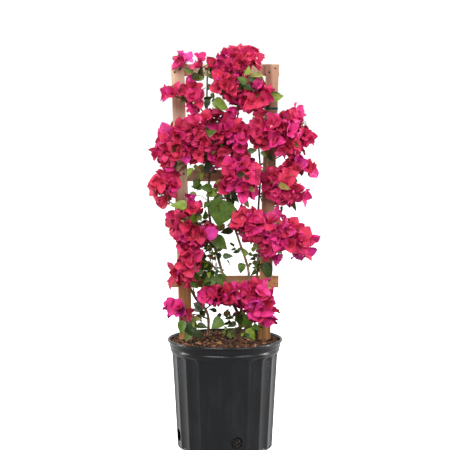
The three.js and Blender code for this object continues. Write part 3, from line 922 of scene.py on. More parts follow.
@dataclass
class NurseryPot:
    """A ten inch nursery can: scalloped wall, grooved band, rolled lip and four drain holes."""

    columns: int = 240
    flutes: int = 20
    flute_edge: float = -10.5  # degrees from the front to the right
    flute_depth: float = 2.9
    flute_foot: float = 2.0
    flute_top: float = 210.0
    arch: float = 8.0  # how much lower a scallop's top is at its edges
    core: Pair = (104.4, 0.0535)  # within the wall: the radius at the foot, and its slope
    wall_radius: float = 112.0
    drains: int = 4
    drain_radius: float = 13.5
    drain_height: float = 28.0
    drain_turn: float = 14.0
    drain_place: float = 105.0
    drain_bit: float = 26.0
    underside: float = 101.5
    outside: tuple[Pair, ...] = (
        (104.6, 0.8), (105.6, 3.0), (105.9, 8.0), (107.4, 36.0), (109.3, 70.0), (111.2, 105.0),
        (113.1, 140.0), (115.0, 172.0), (115.9, 188.0), (116.4, 196.0), (116.6, 200.0),
        (116.8, 203.0), (117.0, 206.0), (117.2, 208.5), (117.5, 211.0), (118.4, 212.8),
        (119.8, 214.2), (120.2, 216.0), (120.2, 219.2), (119.9, 220.4), (119.2, 221.0),
        (119.2, 222.4), (121.2, 223.0), (122.2, 224.4), (122.6, 229.0), (122.9, 233.4),
        (124.0, 235.0), (126.0, 235.6), (126.9, 236.8), (127.0, 238.6), (126.5, 240.2),
        (125.2, 241.0), (123.4, 240.9), (122.2, 239.8), (121.4, 236.0), (119.6, 226.0),
    )
    inside: tuple[Pair, ...] = (
        (116.4, 214.0), (113.2, 205.0), (106.9, 90.0), (101.8, 5.0), (100.6, 3.2),
    )

    def _raise_wall(self) -> Piece:
        """Raises the shell from its underside, ring by ring, over the lip and down inside.

        Returns:
            The shell.
        """
        bpy.ops.mesh.primitive_circle_add(
            vertices=self.columns, radius=self.underside * MM, fill_type="NGON", location=(0, 0, 0)
        )
        pot = bpy.context.object
        with editing(pot, "FACE", "SELECT"):
            raise_rings(self.underside, 0.0, self.outside + self.inside)
        return pot

    def _press_flutes(self, pot: Piece) -> None:
        """Presses the shallow scallops into the wall, each with a round top.

        Args:
            pot: the shell.
        """
        half = 180 / self.flutes
        with editing(pot):
            for step in range(int(self.columns / self.flutes / 2)):
                share = step * 360 / self.columns / half
                top = self.flute_top - self.arch * share**2

                def in_step(corner: bmesh.types.BMVert) -> bool:
                    """True on the outer wall, this far from a scallop's middle."""
                    x, y, z = corner.co / MM
                    turn = math.degrees(math.atan2(x, -y)) - self.flute_edge - half
                    off = abs((turn + half) % (2 * half) - half)
                    outer = math.hypot(x, y) > self.core[0] + z * self.core[1]
                    return outer and self.flute_foot < z < top and abs(off - share * half) < 0.1

                select_where("verts", in_step)
                sunk = 1 - self.flute_depth * (1 - share**2) / self.wall_radius
                bpy.ops.transform.resize(value=(sunk, sunk, 1), center_override=(0, 0, 0))

    def _drill(self, pot: Piece) -> None:
        """Cuts the drain holes.

        Args:
            pot: the shell.
        """
        for hole in range(self.drains):
            turn = math.radians(self.drain_turn + 360 / self.drains * hole)
            out = self.drain_place * MM
            bpy.ops.mesh.primitive_cylinder_add(
                vertices=40, radius=self.drain_radius * MM, depth=self.drain_bit * MM,
                location=(out * math.sin(turn), -out * math.cos(turn), self.drain_height * MM),
                rotation=(math.pi / 2, 0, turn),
            )
            bit = bpy.context.object
            cut = pot.modifiers.new("drain", "BOOLEAN")
            cut.operation = "DIFFERENCE"
            cut.solver = "EXACT"
            cut.object = bit
            apply_modifiers(pot)
            bpy.data.objects.remove(bit)

    def build(self) -> None:
        """Makes the pot."""
        pot = self._raise_wall()
        self._press_flutes(pot)
        with editing(pot, start="SELECT"):
            bpy.ops.mesh.normals_make_consistent(inside=False)
        self._drill(pot)
        smooth(pot, 50)
        finish_piece(pot, "nursery_pot", [POT_BLACK], ["pot"])


@dataclass
class MulchBed:
    """The soil that fills the pot, and the bark chips on top of it."""

    body: tuple[Pair, ...] = ((98.0, 4.0), (111.0, 210.0), (115.0, 216.0), (119.6, 234.0))
    insets: tuple[float, ...] = (0.8, 4, 8, 10, 14, 16, 18, 20)  # of the rings on its top
    clods: Pair = (9.0, 1.6)
    chips: int = 4200
    radius: float = 119.0
    slope: float = 96.0  # where they start to lie lower
    pile: Pair = (0.6, 3.2)  # their least height over the soil, and what is added
    long_share: float = 0.16
    long_length: Pair = (8.0, 15.0)
    short_length: Pair = (3.5, 8.0)
    slim: Pair = (0.14, 0.3)
    thickness: Pair = (0.5, 1.3)
    tone_shares: tuple[float, ...] = (0.34, 0.36, 0.2, 0.1)
    seed: int = 7
    chip_outline: tuple[Pair, ...] = (
        (-0.5, 0.0), (-0.3, -0.9), (0.28, -1.0), (0.5, 0.1), (0.2, 0.9), (-0.34, 1.0),
    )

    def _soil(self) -> Piece:
        """The body of soil, with a bumpy top.

        Returns:
            The soil.
        """
        (foot, low), (wide, high), *rings = self.body
        bpy.ops.mesh.primitive_cone_add(
            vertices=72, radius1=foot * MM, radius2=wide * MM, depth=(high - low) * MM,
            location=(0, 0, (low + high) / 2 * MM), end_fill_type="NGON",
        )
        soil = bpy.context.object
        settle(soil)
        with editing(soil, "FACE"):
            select_where("faces", lambda face: face.normal.z > 0.9)
            raise_rings(wide, high, rings)
            for width in self.insets:
                bpy.ops.mesh.inset(thickness=width * MM)
            bpy.ops.mesh.poke()
            bpy.ops.mesh.select_all(action="SELECT")
        top = soil.vertex_groups.new(name="top")
        places = [(corner.index, corner.co / MM) for corner in soil.data.vertices]
        edge, level = rings[-1]
        loose = [index for index, co in places if co.z > level - 4 and co.xy.length < edge - 1.1]
        top.add(loose, 1.0, "REPLACE")
        roughen(soil, *self.clods, "top")
        smooth(soil, 50)
        return soil

    def _chips(self) -> Piece:
        """The chips: flat splinters that lie every way, most of them short.

        Returns:
            The chips.
        """
        draw = np.random.default_rng(self.seed)
        number = self.chips
        least, more = self.pile
        away = self.radius * np.sqrt(draw.random(number))
        turn = math.tau * draw.random(number)
        rim = np.clip((away - self.slope) / (self.radius - self.slope), 0, 1)
        height = self.body[-1][1] + least + more * draw.random(number) - rim
        place = np.stack([away * np.cos(turn), away * np.sin(turn), height], axis=1)
        is_long = draw.random(number) < self.long_share
        lengths = [draw.uniform(*span, number) for span in (self.long_length, self.short_length)]
        length = np.where(is_long, *lengths) * (1 - 0.4 * rim)
        half_width = length * draw.uniform(*self.slim, number)
        thick = draw.uniform(*self.thickness, number)
        heading = math.tau * draw.random(number)
        tip = draw.normal(0, 0.22, number)
        along = np.stack([np.cos(heading) * np.cos(tip), np.sin(heading) * np.cos(tip), np.sin(tip)], axis=1)
        above = unit(draw.normal(0, 0.42, (number, 3)) + [0, 0, 1])
        side = unit(np.cross(above, along))
        above = np.cross(along, side)
        corners = []
        for layer in (-1, 1):
            for ahead, wide in self.chip_outline:
                shake = draw.uniform(0.75, 1.25, (number, 2))
                corners.append(
                    place
                    + along * (ahead * length * shake[:, 0])[:, None]
                    + side * (wide * half_width * shake[:, 1])[:, None]
                    + above * (layer * thick * shake[:, 0])[:, None]
                )
        around = [(a, b, 6 + b, 6 + a) for a, b in ring_pairs(6)]
        faces = [(5, 4, 3, 2, 1, 0), (6, 7, 8, 9, 10, 11), *around]
        tones = draw.choice(len(CHIP_TONES), number, p=self.tone_shares)
        heap = Gathering()
        heap.add(np.stack(corners, axis=1), faces, tones)
        return heap.join(smooth=False)

    def build(self) -> None:
        """Makes the soil and the chips."""
        soil = self._soil()
        chips = self._chips()
        finish_piece(soil, "soil", [DARK_SOIL], ["root_ball"])
        finish_piece(chips, "mulch_chips", CHIP_TONES)


# The trellis


def block(size: Triple, middle: Triple, eased: float) -> Piece:
    """A block with its edges eased.

    Args:
        size: its size in millimetres.
        middle: its middle.
        eased: how wide the eased edges are.

    Returns:
        The block.
    """
    bpy.ops.mesh.primitive_cube_add(size=1, location=[part * MM for part in middle])
    made = bpy.context.object
    made.scale = [part * MM for part in size]
    settle(made)
    with editing(made, "EDGE", "SELECT"):
        bpy.ops.mesh.bevel(offset=eased * MM, segments=2, affect="EDGES")
    return made


@dataclass
class Board:
    """One slat of the trellis: its middle, size and lean."""

    name: str
    middle: Triple
    size: Triple
    lean: float
    finish: Finish
    eased: float = 1.1
    ring_step: float = 12.0
    wear: Pair = (34.0, 0.5)

    def build(self) -> None:
        """Saws the slat, eases its edges and roughens its faces."""
        board = block(self.size, (0, 0, 0), self.eased)
        longest = max(range(3), key=lambda axis: self.size[axis])
        normal = [float(axis == longest) for axis in range(3)]
        with editing(board):
            cuts = int(self.size[longest] / self.ring_step)
            for cut in range(1, cuts):
                place = [0.0, 0.0, 0.0]
                place[longest] = (cut / cuts - 0.5) * self.size[longest] * MM
                bpy.ops.mesh.select_all(action="SELECT")
                bpy.ops.mesh.bisect(plane_co=place, plane_no=normal)
        board.rotation_euler = (0, self.lean, 0)
        board.location = [part * MM for part in self.middle]
        settle(board)
        board.name = self.name
        roughen(board, *self.wear)
        smooth(board, 35)
        finish_piece(board, f"{self.name}_board", [self.finish], [self.name])


@dataclass
class Trellis:
    """Two slats that spread upwards, three level rails behind them, nails and two soft ties."""

    top: float = 843.0
    slat: float = 28.0
    thickness: float = 14.0
    spread: float = 103.0  # of the posts' middles from the axis, at their top
    lean: float = math.radians(1.6)
    soil: float = 236.0
    buried: float = 150.0
    nail: Pair = (1.9, 1.4)
    nail_shift: Pair = (6.5, 4.5)
    ties: tuple[tuple[str, int, float], ...] = (("tie_high", 1, 747.0), ("tie_low", -1, 470.0))
    tie_width: float = 5.0
    tie_room: float = 0.9
    tie_eased: float = 0.8
    rail_size: Triple = (237.0, 10.0, 26.0)
    rails: dict[str, float] = field(
        default_factory=lambda: {"rail_top": 830.0, "rail_middle": 600.0, "rail_low": 365.0}
    )

    @property
    def rail_back(self) -> float:
        """How far back the middle of each rail is."""
        return self.thickness / 2 + CLEARANCE + self.rail_size[1] / 2

    def post_middle(self, side: int, height: float | Rows) -> float | Rows:
        """How far right a post's middle line is at a height."""
        return side * (self.spread - (self.top - height) * math.tan(self.lean))

    def _post(self, name: str, side: int) -> None:
        """Makes one post.

        Args:
            name: its node.
            side: -1 for the left one, 1 for the right one.
        """
        length = (self.top - self.soil + self.buried) / math.cos(self.lean)
        run = length / 2 * math.sin(self.lean)
        rise = length / 2 * math.cos(self.lean)
        middle = (side * (self.spread - run), 0.0, self.top - rise)
        size = (self.slat, self.thickness, length)
        pine = POST_PINE if side < 0 else BROWN_PINE
        Board(name, middle, size, side * self.lean, pine).build()

    def _nail(self) -> Piece:
        """One nail head at the origin, flat side to the wood, a little dished in front.

        Returns:
            The head.
        """
        radius, depth = self.nail
        bpy.ops.mesh.primitive_cylinder_add(
            vertices=12, radius=radius * MM, depth=depth * MM,
            location=(0, 0, 0), rotation=(math.pi / 2, 0, 0),
        )
        nail = bpy.context.object
        settle(nail)
        with editing(nail, "FACE"):
            select_where("faces", lambda face: face.normal.y < -0.9)
            bpy.ops.mesh.inset(thickness=0.5 * MM)
            bpy.ops.transform.translate(value=(0, -0.25 * MM, 0))
        return nail

    def _nails(self) -> None:
        """Nail heads, two where each rail crosses a post, as copies of one."""
        nail = self._nail()
        aside, above = self.nail_shift
        heads = []
        for height in self.rails.values():
            for side in (-1, 1):
                for shift in (-1, 1):
                    head = nail.copy()
                    head.data = nail.data.copy()
                    bpy.context.scene.collection.objects.link(head)
                    right = self.post_middle(side, height) + aside * shift
                    front = -self.thickness / 2 - 0.2
                    head.location = (right * MM, front * MM, (height + above * shift) * MM)
                    heads.append(head)
        bpy.data.objects.remove(nail)
        take(heads[0])
        for head in heads:
            head.select_set(True)
        bpy.ops.object.transform_apply(location=True)
        bpy.ops.object.join()
        finish_piece(heads[0], "nail_heads", [NAIL_STEEL])

    def _tie(self, name: str, side: int, height: float) -> None:
        """Makes a soft tie round a post.

        Args:
            name: its name.
            side: the post's side.
            height: the tie's height.
        """
        size = (self.slat + 2 * self.tie_room, self.thickness + 2 * self.tie_room, self.tie_width)
        tie = block(size, (self.post_middle(side, height), 0, height), self.tie_eased)
        with editing(tie, "FACE"):
            select_where("faces", lambda face: abs(face.normal.z) < 0.1 and face.calc_area() > 5e-5)
            bpy.ops.mesh.inset(thickness=1.0 * MM, depth=-0.35 * MM)
        finish_piece(tie, name, [TIE_GREEN])

    def build(self) -> None:
        """Makes the posts, rails, nails and ties."""
        self._post("post_left", -1)
        self._post("post_right", 1)
        for name, height in self.rails.items():
            Board(name, (0.0, self.rail_back, height), self.rail_size, 0.0, RAIL_PINE).build()
        self._nails()
        for tie in self.ties:
            self._tie(*tie)


# The wood of the plant


@dataclass
class Limb:
    """A stem, leader or bough: a smooth line with a tapering, knotty tube round it."""

    KNOTS: ClassVar[Pair] = (31.0, 11.0)  # their spacing, and where it starts
    SWELL: ClassVar[Pair] = (0.13, 3.2)  # of a knot: its share of the radius, and its length
    COLLAR: ClassVar[Pair] = (0.35, 5.0)  # the same at the foot of a bough
    FLARE_RUN: ClassVar[float] = 7.0
    SUNK: ClassVar[float] = 4.0

    name: str
    bends: Sequence[Sequence[float]]
    foot: float
    tip: float
    flare: float = 0.0
    line: SmoothLine = field(init=False)

    def __post_init__(self) -> None:
        """Works out the line."""
        self.line = SmoothLine(self.bends)

    def radius(self, share: Rows | float) -> Rows:
        """The radius at shares of the length, without its knots."""
        return self.foot + (self.tip - self.foot) * np.asarray(share)

    def _knotty(self, points: Rows) -> Rows:
        """The radius with a swelling at each old leaf scar and a flare or collar at the foot.

        Args:
            points: the points of the line, evenly spaced.

        Returns:
            The radius at each.
        """
        run = np.linspace(0, self.line.length, len(points))
        spacing, shift = self.KNOTS
        swell, knot = self.SWELL
        height, reach = self.COLLAR
        off = np.abs((run + shift) % spacing - spacing / 2)
        swelling = swell * np.exp(-((off / knot) ** 2))
        collar = 0.0 if self.flare else height
        radius = self.radius(run / self.line.length) * (1 + swelling + collar * np.exp(-run / reach))
        return radius + self.flare * np.exp(-run / self.FLARE_RUN)

    def build(self) -> None:
        """Draws the line as a thick curve, makes it a mesh and gives it the bark's relief."""
        points = self.line.spaced(4.0)
        if self.flare:
            points[0] = points[0] - [0, 0, self.SUNK]
        bpy.ops.curve.primitive_nurbs_path_add(location=(0, 0, 0))
        path = bpy.context.object
        path.data.splines.clear()
        spline = path.data.splines.new("POLY")
        spline.points.add(len(points) - 1)
        for point, place, radius in zip(spline.points, points, self._knotty(points)):
            point.co = (*(place * MM), 1.0)
            point.radius = radius
        path.data.bevel_depth = MM
        path.data.bevel_resolution = 3
        path.data.use_fill_caps = True
        take(path)
        bpy.ops.object.convert(target="MESH")
        limb = bpy.context.object
        if self.flare:
            with editing(limb, start="SELECT"):
                ground = (0, 0, self.bends[0][2] * MM)
                bpy.ops.mesh.bisect(plane_co=ground, plane_no=(0, 0, 1), clear_inner=True, use_fill=True)
        limb.name = self.name
        roughen(limb, 5, 0.16 if self.foot < 2.5 else 0.3)
        take(limb)
        bpy.ops.object.shade_smooth()
        finish_piece(limb, f"{self.name}_wood", [STEM_BARK], [self.name])


SOIL_TOP = 236.3
AXIS_STEP = 8.0

STEMS = (
    Limb("trunk", ((32, -4, SOIL_TOP), (33, -4, 268), (31, -4, 292)), 4.4, 3.9, 2.4),
    Limb(
        "leader_left",
        (
            (30.5, -4.6, 293), (9.5, -14, 337), (1, -20, 367), (-16, -12, 424), (-33, -7, 505),
            (-37, -7, 560), (-33.5, -12, 600), (-34, -12, 660), (-39, -8, 750), (-38, -16, 838),
        ),
        3.4, 1.5,
    ),
    Limb(
        "leader_middle",
        (
            (32.4, -5.8, 293.2), (47, -22, 348), (52, -20, 388), (29, -16, 464), (12, -20, 520),
            (12, -25, 600), (22, -26, 690), (30, -26, 760), (29, -30, 818),
        ),
        3.0, 1.4,
    ),
    Limb(
        "stem_left",
        (
            (-37, 45, SOIL_TOP), (-40, 44, 290), (-66, 38, 325), (-88, 30, 380), (-96, 26, 500),
            (-98, 26, 600), (-102, 22, 720), (-102, 26, 849),
        ),
        3.3, 1.4, 1.8,
    ),
    Limb(
        "stem_right",
        (
            (55, 30, SOIL_TOP), (60, 32, 290), (72, 30, 385), (76, 30, 430), (74, 34, 520),
            (78, 38, 600), (70, 36, 700), (54, 34, 806),
        ),
        3.3, 1.4, 1.8,
    ),
)


class Palette(Enum):
    """How a mass mixes its bract tones: shares of the tones in the order of Tone."""

    FULL = (0.22, 0.34, 0.20, 0.19, 0.03, 0.02, 0.0)
    RED = (0.10, 0.32, 0.48, 0.08, 0.02, 0.0, 0.0)
    BRIGHT = (0.34, 0.28, 0.12, 0.08, 0.10, 0.08, 0.0)
    PURPLE = (0.30, 0.14, 0.02, 0.14, 0.36, 0.04, 0.0)


@dataclass
class Mass:
    """One mass of blossom and leaf, with the same sizes as its solid in the frame."""

    name: str
    middle: Triple
    reach: Triple
    limb: str
    blooms: int
    leaves: int
    way: Triple | None = None
    tip: bool = False
    rear: str = ""
    palette: Palette = Palette.FULL
    seed: int = 0
    scale: float = 1.0
    line: SmoothLine | None = None

    def outward(self, places: Rows) -> Rows:
        """How far out of the mass places are: under 1 inside it."""
        return np.linalg.norm((places - np.array(self.middle)) / np.array(self.reach), axis=-1)


MASSES = (
    Mass(
        "crest", (32, -34, 852), (58, 50, 44), "leader_middle", 10, 1,
        tip=True, rear="stem_right", palette=Palette.RED,
    ),
    Mass("crest_low", (1, -54, 800), (38, 44, 42), "leader_middle", 6, 1),
    Mass("left_tip", (-97, 8, 866), (27, 36, 26), "stem_left", 3, 1, tip=True, palette=Palette.PURPLE),
    Mass(
        "rail_sprig", (-44, -34, 838), (36, 36, 38), "leader_left", 2, 5,
        tip=True, palette=Palette.PURPLE,
    ),
    Mass("left_high", (-90, -42, 778), (56, 46, 46), "leader_left", 7, 1, way=(-55, -26, 750)),
    Mass("right_high", (60, -42, 776), (53, 50, 46), "leader_middle", 8, 2, rear="stem_right"),
    Mass(
        "left_main", (-112, -32, 670), (56, 54, 66), "stem_left", 9, 1,
        way=(-126, 4, 642), rear="stem_left",
    ),
    Mass("left_inner", (-34, -48, 688), (52, 50, 72), "leader_left", 9, 1),
    Mass("centre_high", (38, -50, 688), (42, 46, 48), "leader_middle", 6, 1, palette=Palette.BRIGHT),
    Mass(
        "right_main", (110, -42, 700), (56, 54, 62), "leader_middle", 9, 1,
        way=(56, -32, 655), rear="stem_right",
    ),
    Mass("right_tip", (170, -6, 694), (42, 46, 52), "stem_right", 6, 0, way=(126, 6, 646)),
    Mass(
        "right_small", (168, -2, 621), (38, 40, 36), "stem_right", 4, 0,
        way=(126, 2, 570), palette=Palette.BRIGHT,
    ),
    Mass(
        "centre", (22, -54, 597), (58, 48, 52), "leader_middle", 8, 1,
        rear="stem_right", palette=Palette.BRIGHT,
    ),
    Mass(
        "right_arm", (136, -26, 576), (58, 54, 54), "stem_right", 8, 1,
        way=(124, 2, 540), rear="stem_right",
    ),
    Mass(
        "left_arm", (-125, -22, 574), (62, 50, 42), "stem_left", 8, 1,
        way=(-124, 2, 545), rear="stem_left", palette=Palette.RED,
    ),
    Mass("big_leaves", (-10, -46, 552), (38, 40, 46), "leader_left", 0, 5),
    Mass(
        "left_flank", (-74, -44, 500), (66, 50, 52), "leader_left", 9, 2,
        way=(-42, -26, 462), rear="stem_left", palette=Palette.RED,
    ),
    Mass("centre_low", (41, -48, 497), (46, 46, 48), "leader_middle", 7, 0, palette=Palette.BRIGHT),
    Mass(
        "right_flank", (132, -28, 472), (72, 56, 62), "stem_right", 10, 1,
        way=(116, 4, 425), rear="stem_right", palette=Palette.BRIGHT,
    ),
    Mass(
        "left_low", (-84, -40, 412), (50, 48, 52), "stem_left", 7, 1,
        way=(-64, -6, 330), palette=Palette.RED,
    ),
    Mass("green_middle", (-30, -40, 412), (40, 42, 58), "leader_left", 0, 9),
    Mass("base_middle", (-8, -54, 342), (58, 46, 44), "leader_left", 7, 1, rear="stem_left"),
    Mass(
        "base_right", (76, -50, 334), (54, 50, 58), "leader_middle", 9, 1,
        rear="stem_right", palette=Palette.BRIGHT,
    ),
    Mass(
        "base_left", (-97, -40, 304), (44, 46, 46), "stem_left", 6, 2,
        way=(-62, 2, 292), palette=Palette.PURPLE,
    ),
    Mass("base_green", (26, -42, 268), (54, 38, 32), "trunk", 0, 6),
)


@dataclass
class Wood:
    """The stems and leaders, and a side bough to each mass that hangs off them."""

    rise: float = 22.0
    entry: float = 0.72
    root: float = 1.9
    tip: float = 1.2
    aim_drop: float = 0.4
    step: float = 6.0
    limbs: dict[str, Limb] = field(default_factory=dict)

    def _bough(self, mass: Mass) -> Limb:
        """The bough that leaves its stem, passes the way place and ends inside the mass.

        Args:
            mass: a mass with a way place.

        Returns:
            The bough.
        """
        way = np.array(mass.way, float)
        stem = self.limbs[mass.limb].line
        start = stem.at(stem.nearest(way - [0, 0, self.rise]))
        outside = max(float(mass.outward(way)), 1.0)
        middle = np.array(mass.middle, float)
        end = middle + (way - middle) * self.entry / outside
        return Limb(f"bough_{mass.name}", (start, way, end), self.root, self.tip)

    def build(self, masses: Sequence[Mass]) -> None:
        """Makes every limb.

        Args:
            masses: the masses; those with a way get a bough.
        """
        self.limbs = {stem.name: stem for stem in STEMS}
        boughs = [self._bough(mass) for mass in masses if mass.way]
        self.limbs |= {bough.name: bough for bough in boughs}
        for limb in self.limbs.values():
            limb.build()

    def carrier(self, mass: Mass) -> tuple[Limb, float]:
        """Where a mass grows from.

        Args:
            mass: the mass.

        Returns:
            The limb, and the share of the way along it.
        """
        bough = self.limbs.get(f"bough_{mass.name}")
        if bough:
            return bough, 1.0
        limb = self.limbs[mass.limb]
        if mass.tip:
            return limb, 1.0
        aim = np.array(mass.middle, float) - [0, 0, self.aim_drop * mass.reach[2]]
        return limb, limb.line.nearest(aim)

    def samples(self) -> tuple[Rows, Rows]:
        """Looks along all the limbs.

        Returns:
            Places on their lines, and the radius at each.
        """
        limbs = self.limbs.values()
        places = [limb.line.spaced(self.step) for limb in limbs]
        radii = [limb.radius(np.linspace(0, 1, len(row))) for limb, row in zip(limbs, places)]
        return np.concatenate(places), np.concatenate(radii)


# The crown


@dataclass(frozen=True)
class FrontView:
    """Where blossom shows from the front, as round patches: right, up, half width, half height.

    The patches lie on the trellis's plane, from the crest down, and the sky shows between them.
    """

    viewer: Triple = (0.0, -3500.0, 864.0)
    patches: tuple[tuple[int, int, int, int], ...] = (
        (36, 858, 39, 29), (70, 852, 17, 14), (6, 866, 14, 14), (-16, 848, 14, 10), (14, 828, 38, 30),
        (0, 796, 27, 26), (58, 778, 46, 36), (30, 757, 20, 13), (-98, 852, 16, 14), (-118, 788, 22, 20),
        (-128, 772, 14, 8), (-77, 812, 12, 15), (-66, 785, 26, 22), (-64, 764, 18, 16), (-66, 742, 16, 9),
        (-18, 738, 22, 16), (12, 725, 16, 14), (-14, 774, 14, 8), (-102, 681, 46, 46),
        (-138, 653, 23, 25), (-136, 690, 15, 11), (-40, 690, 50, 46), (-20, 650, 45, 28),
        (-125, 640, 24, 22), (-125, 612, 17, 16), (-66, 636, 18, 16), (25, 700, 30, 22),
        (32, 660, 22, 24), (68, 718, 16, 14), (112, 698, 54, 44), (150, 730, 24, 16), (120, 662, 30, 18),
        (70, 680, 16, 26), (150, 668, 22, 26), (180, 686, 22, 18), (171, 624, 27, 18), (142, 622, 14, 18),
        (190, 614, 12, 14), (40, 620, 36, 26), (60, 634, 16, 14), (10, 590, 40, 28), (50, 575, 34, 24),
        (40, 556, 16, 10), (105, 600, 26, 24), (124, 572, 38, 34), (105, 545, 18, 24),
        (150, 560, 18, 14), (174, 556, 13, 15), (-150, 583, 24, 17), (-122, 583, 26, 28),
        (-142, 542, 19, 10), (-75, 557, 13, 12), (-68, 529, 24, 16), (-104, 512, 28, 18),
        (-90, 478, 34, 20), (-30, 482, 18, 18), (-60, 466, 36, 20), (-80, 440, 27, 26),
        (-80, 414, 26, 20), (-96, 380, 31, 21), (38, 512, 25, 22), (10, 490, 14, 14), (58, 485, 34, 30),
        (48, 458, 12, 9), (62, 515, 16, 15), (100, 500, 28, 30), (136, 498, 18, 22), (118, 462, 52, 30),
        (165, 465, 30, 28), (168, 436, 28, 14), (80, 440, 16, 14), (104, 428, 16, 22), (115, 410, 14, 8),
        (-38, 337, 27, 20), (-4, 338, 30, 24), (-28, 314, 8, 8), (42, 338, 34, 30), (76, 342, 32, 36),
        (86, 300, 28, 28), (60, 295, 14, 14), (-112, 314, 20, 18), (-84, 292, 24, 16),
    )

    def inside(self, places: Rows) -> Rows:
        """True for each place that the viewer sees inside a patch.

        Args:
            places: places in millimetres, as place, axis.

        Returns:
            One truth for each place.
        """
        _, stand, eye = self.viewer
        share = -stand / (places[:, 1] - stand)
        right = places[:, 0] * share
        up = eye + (places[:, 2] - eye) * share
        middles, halves = np.split(np.array(self.patches, float), 2, axis=1)
        off = (np.stack([right, up], axis=1)[:, None] - middles) / halves
        return np.any(np.sum(off**2, axis=2) < 1, axis=1)


@dataclass
class Shoot:
    """A twig of a mass: where it starts and ends, how its end is turned, and its size."""

    HEART: ClassVar[float] = 8.0

    mass: Mass
    start: Rows
    end: Rows
    facing: Rows
    roll: float
    size: float
    depth: float
    tone: Tone | None = None

    def heart(self) -> Rows:
        """The middle of the bloom at its end."""
        return self.end + self.facing * self.HEART * self.size

    def spokes(self, turns: Rows) -> Rows:
        """Directions square to its facing, one at each turn round it."""
        first = across_of(self.facing[None])
        return first * np.cos(turns)[:, None] + np.cross(self.facing, first) * np.sin(turns)[:, None]


class Sheaf:
    """A row of shoots as arrays, with two directions square to each facing."""

    def __init__(self, shoots: Sequence[Shoot]) -> None:
        """Gathers the shoots' values.

        Args:
            shoots: the shoots.
        """
        values = zip(*((shoot.start, shoot.end, shoot.facing, shoot.roll, shoot.size) for shoot in shoots))
        self.start, self.end, self.facing, self.roll, self.size = map(np.array, values)
        self.stalk = unit(self.end - self.start)
        self.first = across_of(self.facing)
        self.second = np.cross(self.facing, self.first)

    def __len__(self) -> int:
        """How many shoots there are."""
        return len(self.roll)

    def spoke(self, turn: Rows) -> Rows:
        """A direction square to each facing, at a turn round it."""
        return self.first * np.cos(turn)[:, None] + self.second * np.sin(turn)[:, None]

    def on_stalk(self, share: Rows | float) -> Rows:
        """The place at a share of the straight way from each start to its end."""
        return self.start + (self.end - self.start) * np.reshape(share, (-1, 1))


@dataclass(frozen=True)
class LoneBloom:
    """A bloom that shows by itself: its foot, the way that it points (right, up), size and tone."""

    right: float
    back: float
    up: float
    points_right: float
    points_up: float
    size: float
    tone: Tone
    forward: ClassVar[float] = -0.45

    def shoot(self, masses: Sequence[Mass], roll: float) -> Shoot:
        """Its shoot, from the nearest stem of a mass.

        Args:
            masses: all the masses.
            roll: how far it is turned about its own axis.

        Returns:
            The shoot.
        """
        foot = np.array([self.right, self.back, self.up], float)
        stems = [(mass, point) for mass in masses for point in mass.line.spaced(AXIS_STEP)]
        mass, start = min(stems, key=lambda stem: np.linalg.norm(stem[1] - foot))
        facing = np.array([self.points_right, self.forward, self.points_up])
        return Shoot(mass, start, foot, facing / np.linalg.norm(facing), roll, self.size, 1.0, self.tone)


LONE_BLOOMS = tuple(
    LoneBloom(*row)
    for row in (
        (-54, -60, 848, 0.2, 1.0, 0.85, Tone.MAGENTA), (-65, -40, 559, -0.9, -0.4, 0.8, Tone.PURPLE),
        (-126, -34, 558, -0.7, -0.7, 1.1, Tone.ROSE), (-146, -26, 572, -1.0, -0.15, 1.1, Tone.ROSE),
        (176, -10, 688, 1.0, -0.1, 1.0, Tone.CERISE), (178, -6, 614, 1.0, -0.1, 0.95, Tone.MAGENTA),
        (165, -30, 565, 0.8, -0.6, 1.0, Tone.MAGENTA), (102, -40, 426, 0.9, -0.4, 0.9, Tone.PURPLE),
        (170, -30, 442, 0.9, -0.4, 1.05, Tone.PURPLE), (157, -30, 442, 0.2, -1.0, 1.0, Tone.PURPLE),
        (185, -30, 458, 0.7, 0.7, 0.8, Tone.MAGENTA), (92, -52, 308, 0.1, -1.0, 0.95, Tone.PURPLE),
        (98, -46, 295, -0.3, -1.0, 0.9, Tone.MAGENTA), (-113, -40, 318, -1.0, 0.2, 0.85, Tone.PURPLE),
        (-109, -46, 315, 0.3, 1.0, 0.95, Tone.PURPLE), (-116, -42, 782, -1.0, -0.3, 0.95, Tone.MAGENTA),
        (-142, -32, 654, -1.0, -0.2, 0.8, Tone.CERISE), (149, -40, 739, 0.9, 0.3, 0.9, Tone.MAGENTA),
        (-20, -64, 838, -0.5, 0.6, 0.9, Tone.CRIMSON), (-98, -50, 386, -1.0, 0.1, 1.25, Tone.ROSE),
        (-82, -56, 384, 0.8, -0.7, 1.0, Tone.ROSE), (-89, -56, 395, 0.2, 1.0, 1.0, Tone.ROSE),
        (-30, -44, 730, 0.3, 0.9, 0.9, Tone.CERISE), (-53, -58, 836, -0.2, 0.5, 0.7, Tone.CERISE),
        (70, -62, 752, 0.2, -0.9, 0.9, Tone.CERISE), (-48, -64, 474, 0.9, 0.4, 1.1, Tone.PURPLE),
        (-104, -50, 500, -1.0, 0.1, 1.1, Tone.ROSE), (24, -62, 752, -0.6, -0.7, 0.9, Tone.MAGENTA),
        (-88, -4, 848, 0.1, 1.0, 1.0, Tone.PURPLE), (-86, -14, 843, -0.95, 0.3, 1.0, Tone.MAGENTA),
    )
)


